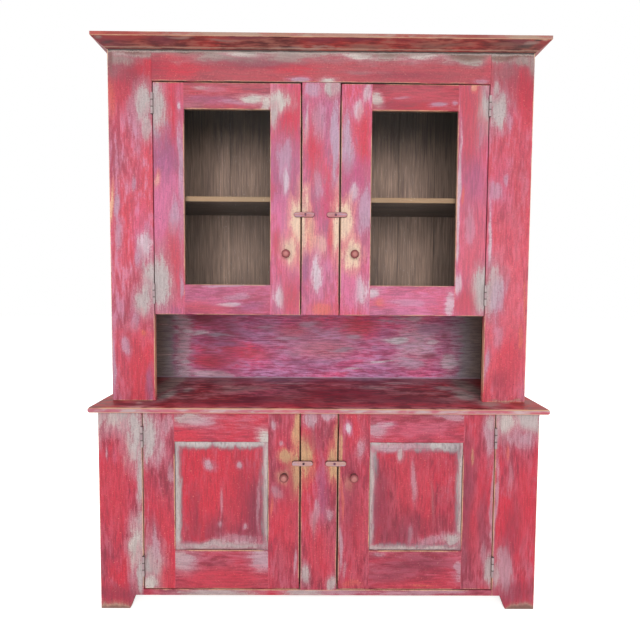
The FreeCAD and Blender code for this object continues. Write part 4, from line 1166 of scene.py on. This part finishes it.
def knob_paint(name, front_y):
    """A knob rubbed pale on its crown, with painted shade darkening it from its widest point back to the
    door.
    """
    material, g, coordinates, brush = start_material(name, "x")
    y = g.parts(coordinates["Object"])[1]
    depth = g.math("ADD", g.math("SUBTRACT", y, front_y), g.math("MULTIPLY", brush["Ragged"], knob_swing))
    colour = g.mix(g.smooth(depth, *crown_depths), linear("knob_crown"), linear("knob_side"))
    colour = g.mix(g.smooth(depth, *knob_foot_depths), colour, linear("knob_foot_shade"))
    colour = g.mix(g.smooth(brush["Cloud"], *knob_clouds, 0.0, knob_cloud_cover), colour, linear("rose"))
    end_material(g, colour, brush, roughness=(0.35, 0.55), bump=0.2)
    return material


def button_paint(name):
    """A turn button rubbed pale on its face, with painted shade darkening its rounded edges."""
    material, g, coordinates, brush = start_material(name, "x")
    colour = g.mix(g.smooth(brush["Cloud"], *button_clouds), linear("button_red"), linear("button_worn"))
    rubbed = g.smooth(brush["Streak"], *button_streaks, 0.0, button_streak_cover)
    colour = g.mix(rubbed, colour, linear("lavender"))
    colour = g.mix(facing(g, coordinates, "y", "button edge"), colour, linear("button_edge_shade"))
    end_material(g, colour, brush, roughness=(0.45, 0.6), bump=0.3)
    return material


def mesh_piece(name, build, body, material):
    """A new piece from a function that fills a bmesh. It rides on a body and takes a slot."""
    shape = bmesh.new()
    build(shape)
    bmesh.ops.recalc_face_normals(shape, faces=shape.faces)
    mesh = bpy.data.meshes.new(name)
    shape.to_mesh(mesh)
    shape.free()
    for polygon in mesh.polygons:
        polygon.use_smooth = True
    mesh.materials.append(material)
    piece = bpy.data.objects.new(name, mesh)
    bpy.context.scene.collection.objects.link(piece)
    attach(piece, body)
    return piece


def loft(shape, loops, closed=False):
    """Join loops of points, alike in number, with quads. Its ends are joined where closed, else capped."""
    rings = [[shape.verts.new(point) for point in loop] for loop in loops]
    pairs = list(zip(rings[:-1], rings[1:]))
    if closed:
        pairs.append((rings[-1], rings[0]))
    for low, high in pairs:
        for i in range(len(low)):
            shape.faces.new((low[i - 1], low[i], high[i], high[i - 1]))
    if not closed:
        shape.faces.new(rings[0])
        shape.faces.new(rings[-1])


def knob_profile(reach, radius):
    """Radius and reach, from the door's face out: base, hollow neck, ball and crown."""
    base, neck, stem = knob_base * radius, knob_neck * radius, knob_stem * radius
    points = [(stem, -knob_sunk * reach), (stem, 0.0), (base, 0.0)]
    points += [(base + out, up * reach) for out, up in knob_base_edge]
    edge, edge_up = base + knob_base_edge[-1][0], knob_base_edge[-1][1]
    for step in range(1, knob_hollow_steps + 1):
        turn = math.pi / 2 * step / knob_hollow_steps
        up = edge_up + knob_hollow * (1 - math.cos(turn))
        points.append((neck + (edge - neck) * (1 - math.sin(turn)), up * reach))
    widest = knob_widest * reach
    for step in range(1, knob_ball_steps):
        turn = math.pi * (knob_ball_turn * step / knob_ball_steps - knob_ball_start)
        tall = reach - widest if turn > 0 else knob_under_ball * reach
        points.append((radius * math.cos(turn), widest + tall * math.sin(turn)))
    points.append((knob_crown_hole, reach))
    return points


def make_knobs():
    """Smooth turned knobs in place of the faceted ones of the solids."""
    for level in ("upper", "lower"):
        material = knob_paint(f"{level}_knob_paint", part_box(f"{level}_left_knob")[0].y)
        for side in ("left", "right"):
            node = f"{level}_{side}_knob"
            low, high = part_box(node)
            centre = (low + high) / 2
            face_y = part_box(f"{level}_{side}_door_latch_stile")[0].y
            profile = knob_profile(face_y - low.y, (high.z - low.z) / 2)

            def build(shape, centre=centre, face_y=face_y, profile=profile):
                turns = [2 * math.pi * i / knob_rounds for i in range(knob_rounds)]
                loft(shape, [[(centre.x + r * math.cos(t), face_y - reach, centre.z + r * math.sin(t))
                              for t in turns] for r, reach in profile])

            door = f"{level}_{side}_door"
            piece = mesh_piece(f"{level}_{side}_turned_knob", build, door, material)
            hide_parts(node)


def button_loops(box, pivot_x):
    """Outlines of a turn button: from the screw's hole at the back, round the rim, to its eased front."""
    low, high = box
    half, z = (high.z - low.z) / 2, (high.z + low.z) / 2

    def outline(shrink, y):
        points, radius = [], half - shrink
        for end, start in ((high.x - half, -math.pi / 2), (low.x + half, math.pi / 2)):
            for i in range(button_rounds + 1):
                turn = start + math.pi * i / button_rounds
                points.append((end + radius * math.cos(turn), y, z + radius * math.sin(turn)))
        return points

    def circle(radius, y):
        turns = [math.atan2(height - z, x - pivot_x) for x, _, height in outline(0.0, y)]
        return [(pivot_x + radius * math.cos(turn), y, z + radius * math.sin(turn)) for turn in turns]

    front, back = low.y, high.y
    loops = [circle(button_hole, back), outline(button_back_ease, back),
             outline(0.0, back - button_back_rise)]
    for i in range(button_ease_steps + 1):
        turn = math.pi / 2 * i / button_ease_steps
        inward, deep = button_ease * (1 - math.cos(turn)), button_ease * (1 - math.sin(turn))
        loops.append(outline(inward, front + deep))
    return loops + [circle(button_sink, front), circle(button_sink_foot, front + button_sink_depth)]


def make_turn_buttons():
    """Turn buttons with round ends and eased edges, in place of the faceted ones of the solids."""
    material = button_paint("turn_button_paint")
    for level in ("upper", "lower"):
        for side in ("left", "right"):
            node = f"{level}_{side}_turn_button"
            joint = next(joint for joint in frame["joints"] if joint["child"] == node)
            loops = button_loops(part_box(node), joint["pos_m"][0])

            def build(shape, loops=loops):
                loft(shape, loops, closed=True)

            piece = mesh_piece(f"{level}_{side}_rounded_button", build, node, material)
            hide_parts(node)


# Studio

def seen_directly(g):
    """1 to the camera, in gloss and through glass, and 0 to the light that bounces about."""
    path = g.node("ShaderNodeLightPath").outputs
    seen = g.math("MAXIMUM", path["Is Camera Ray"], path["Is Glossy Ray"])
    return g.math("MAXIMUM", seen, path["Is Transmission Ray"])


def stage_floor():
    """A pale floor that keeps the object's shadow and stays white to the camera."""
    mesh = bpy.data.meshes.new("studio_floor")
    r = floor_reach
    mesh.from_pydata([(-r, -r, 0), (r, -r, 0), (r, r, 0), (-r, r, 0)], [], [(0, 1, 2, 3)])
    floor = bpy.data.objects.new("studio_floor", mesh)
    bpy.context.scene.collection.objects.link(floor)
    material, g, _ = new_material("studio_floor")
    matt = g.node("ShaderNodeBsdfDiffuse", {"Color": floor_colour}).outputs[0]
    strength = g.math("MULTIPLY", seen_directly(g), floor_lift)
    lift = g.node("ShaderNodeEmission", {"Color": white, "Strength": strength}).outputs[0]
    g.surface(g.node("ShaderNodeAddShader", {0: matt, 1: lift}).outputs[0])
    mesh.materials.append(material)


def sky():
    """An even pale light all round, and a white background to the camera, in gloss and through glass."""
    world = bpy.data.worlds.new("studio")
    bpy.context.scene.world = world
    world.use_nodes = True
    g = Graph(world.node_tree)
    world.node_tree.nodes.clear()
    strength = g.smooth(seen_directly(g), 0.0, 1.0, sky_strength, 1.0)
    light = g.node("ShaderNodeBackground", {"Color": white, "Strength": strength})
    g.feed(g.node("ShaderNodeOutputWorld").inputs[0], light.outputs[0])


def area_light(name, place, aim, power):
    """A square lamp that looks from its place to its aim."""
    data = bpy.data.lights.new(name, "AREA")
    data.shape = "SQUARE"
    data.size = lamp_size
    data.energy = power
    lamp = bpy.data.objects.new(name, data)
    lamp.location = place
    lamp.rotation_mode = "QUATERNION"
    lamp.rotation_quaternion = (Vector(aim) - Vector(place)).to_track_quat("-Z", "Y")
    bpy.context.scene.collection.objects.link(lamp)


def camera():
    """The camera, where the photograph's was."""
    data = bpy.data.cameras.new("camera")
    data.sensor_width = sensor_width
    data.lens = lens_length
    data.shift_x, data.shift_y = lens_shift
    data.clip_start = near_clip
    data.dof.use_dof = False
    seat = bpy.data.objects.new("camera", data)
    turns = ((-camera_yaw_right, "Z"), (math.pi / 2 - camera_pitch_down, "X"), (camera_roll, "Z"))
    yaw, pitch, roll = (Matrix.Rotation(angle, 3, axis) for angle, axis in turns)
    seat.rotation_mode = "QUATERNION"
    seat.rotation_quaternion = (yaw @ pitch @ roll).to_quaternion()
    seat.location = camera_place
    bpy.context.scene.collection.objects.link(seat)
    bpy.context.scene.camera = seat


paint_face_frames()
paint_doors()
paint_cases()
paint_hardware()
make_knobs()
make_turn_buttons()
stage_floor()
sky()
area_light("key", key_place, key_aim, key_power)
for name, place in fill_places.items():
    area_light(name + "_fill", place, fill_aim, fill_power)
camera()
bpy.context.scene.view_settings.view_transform = "Standard"
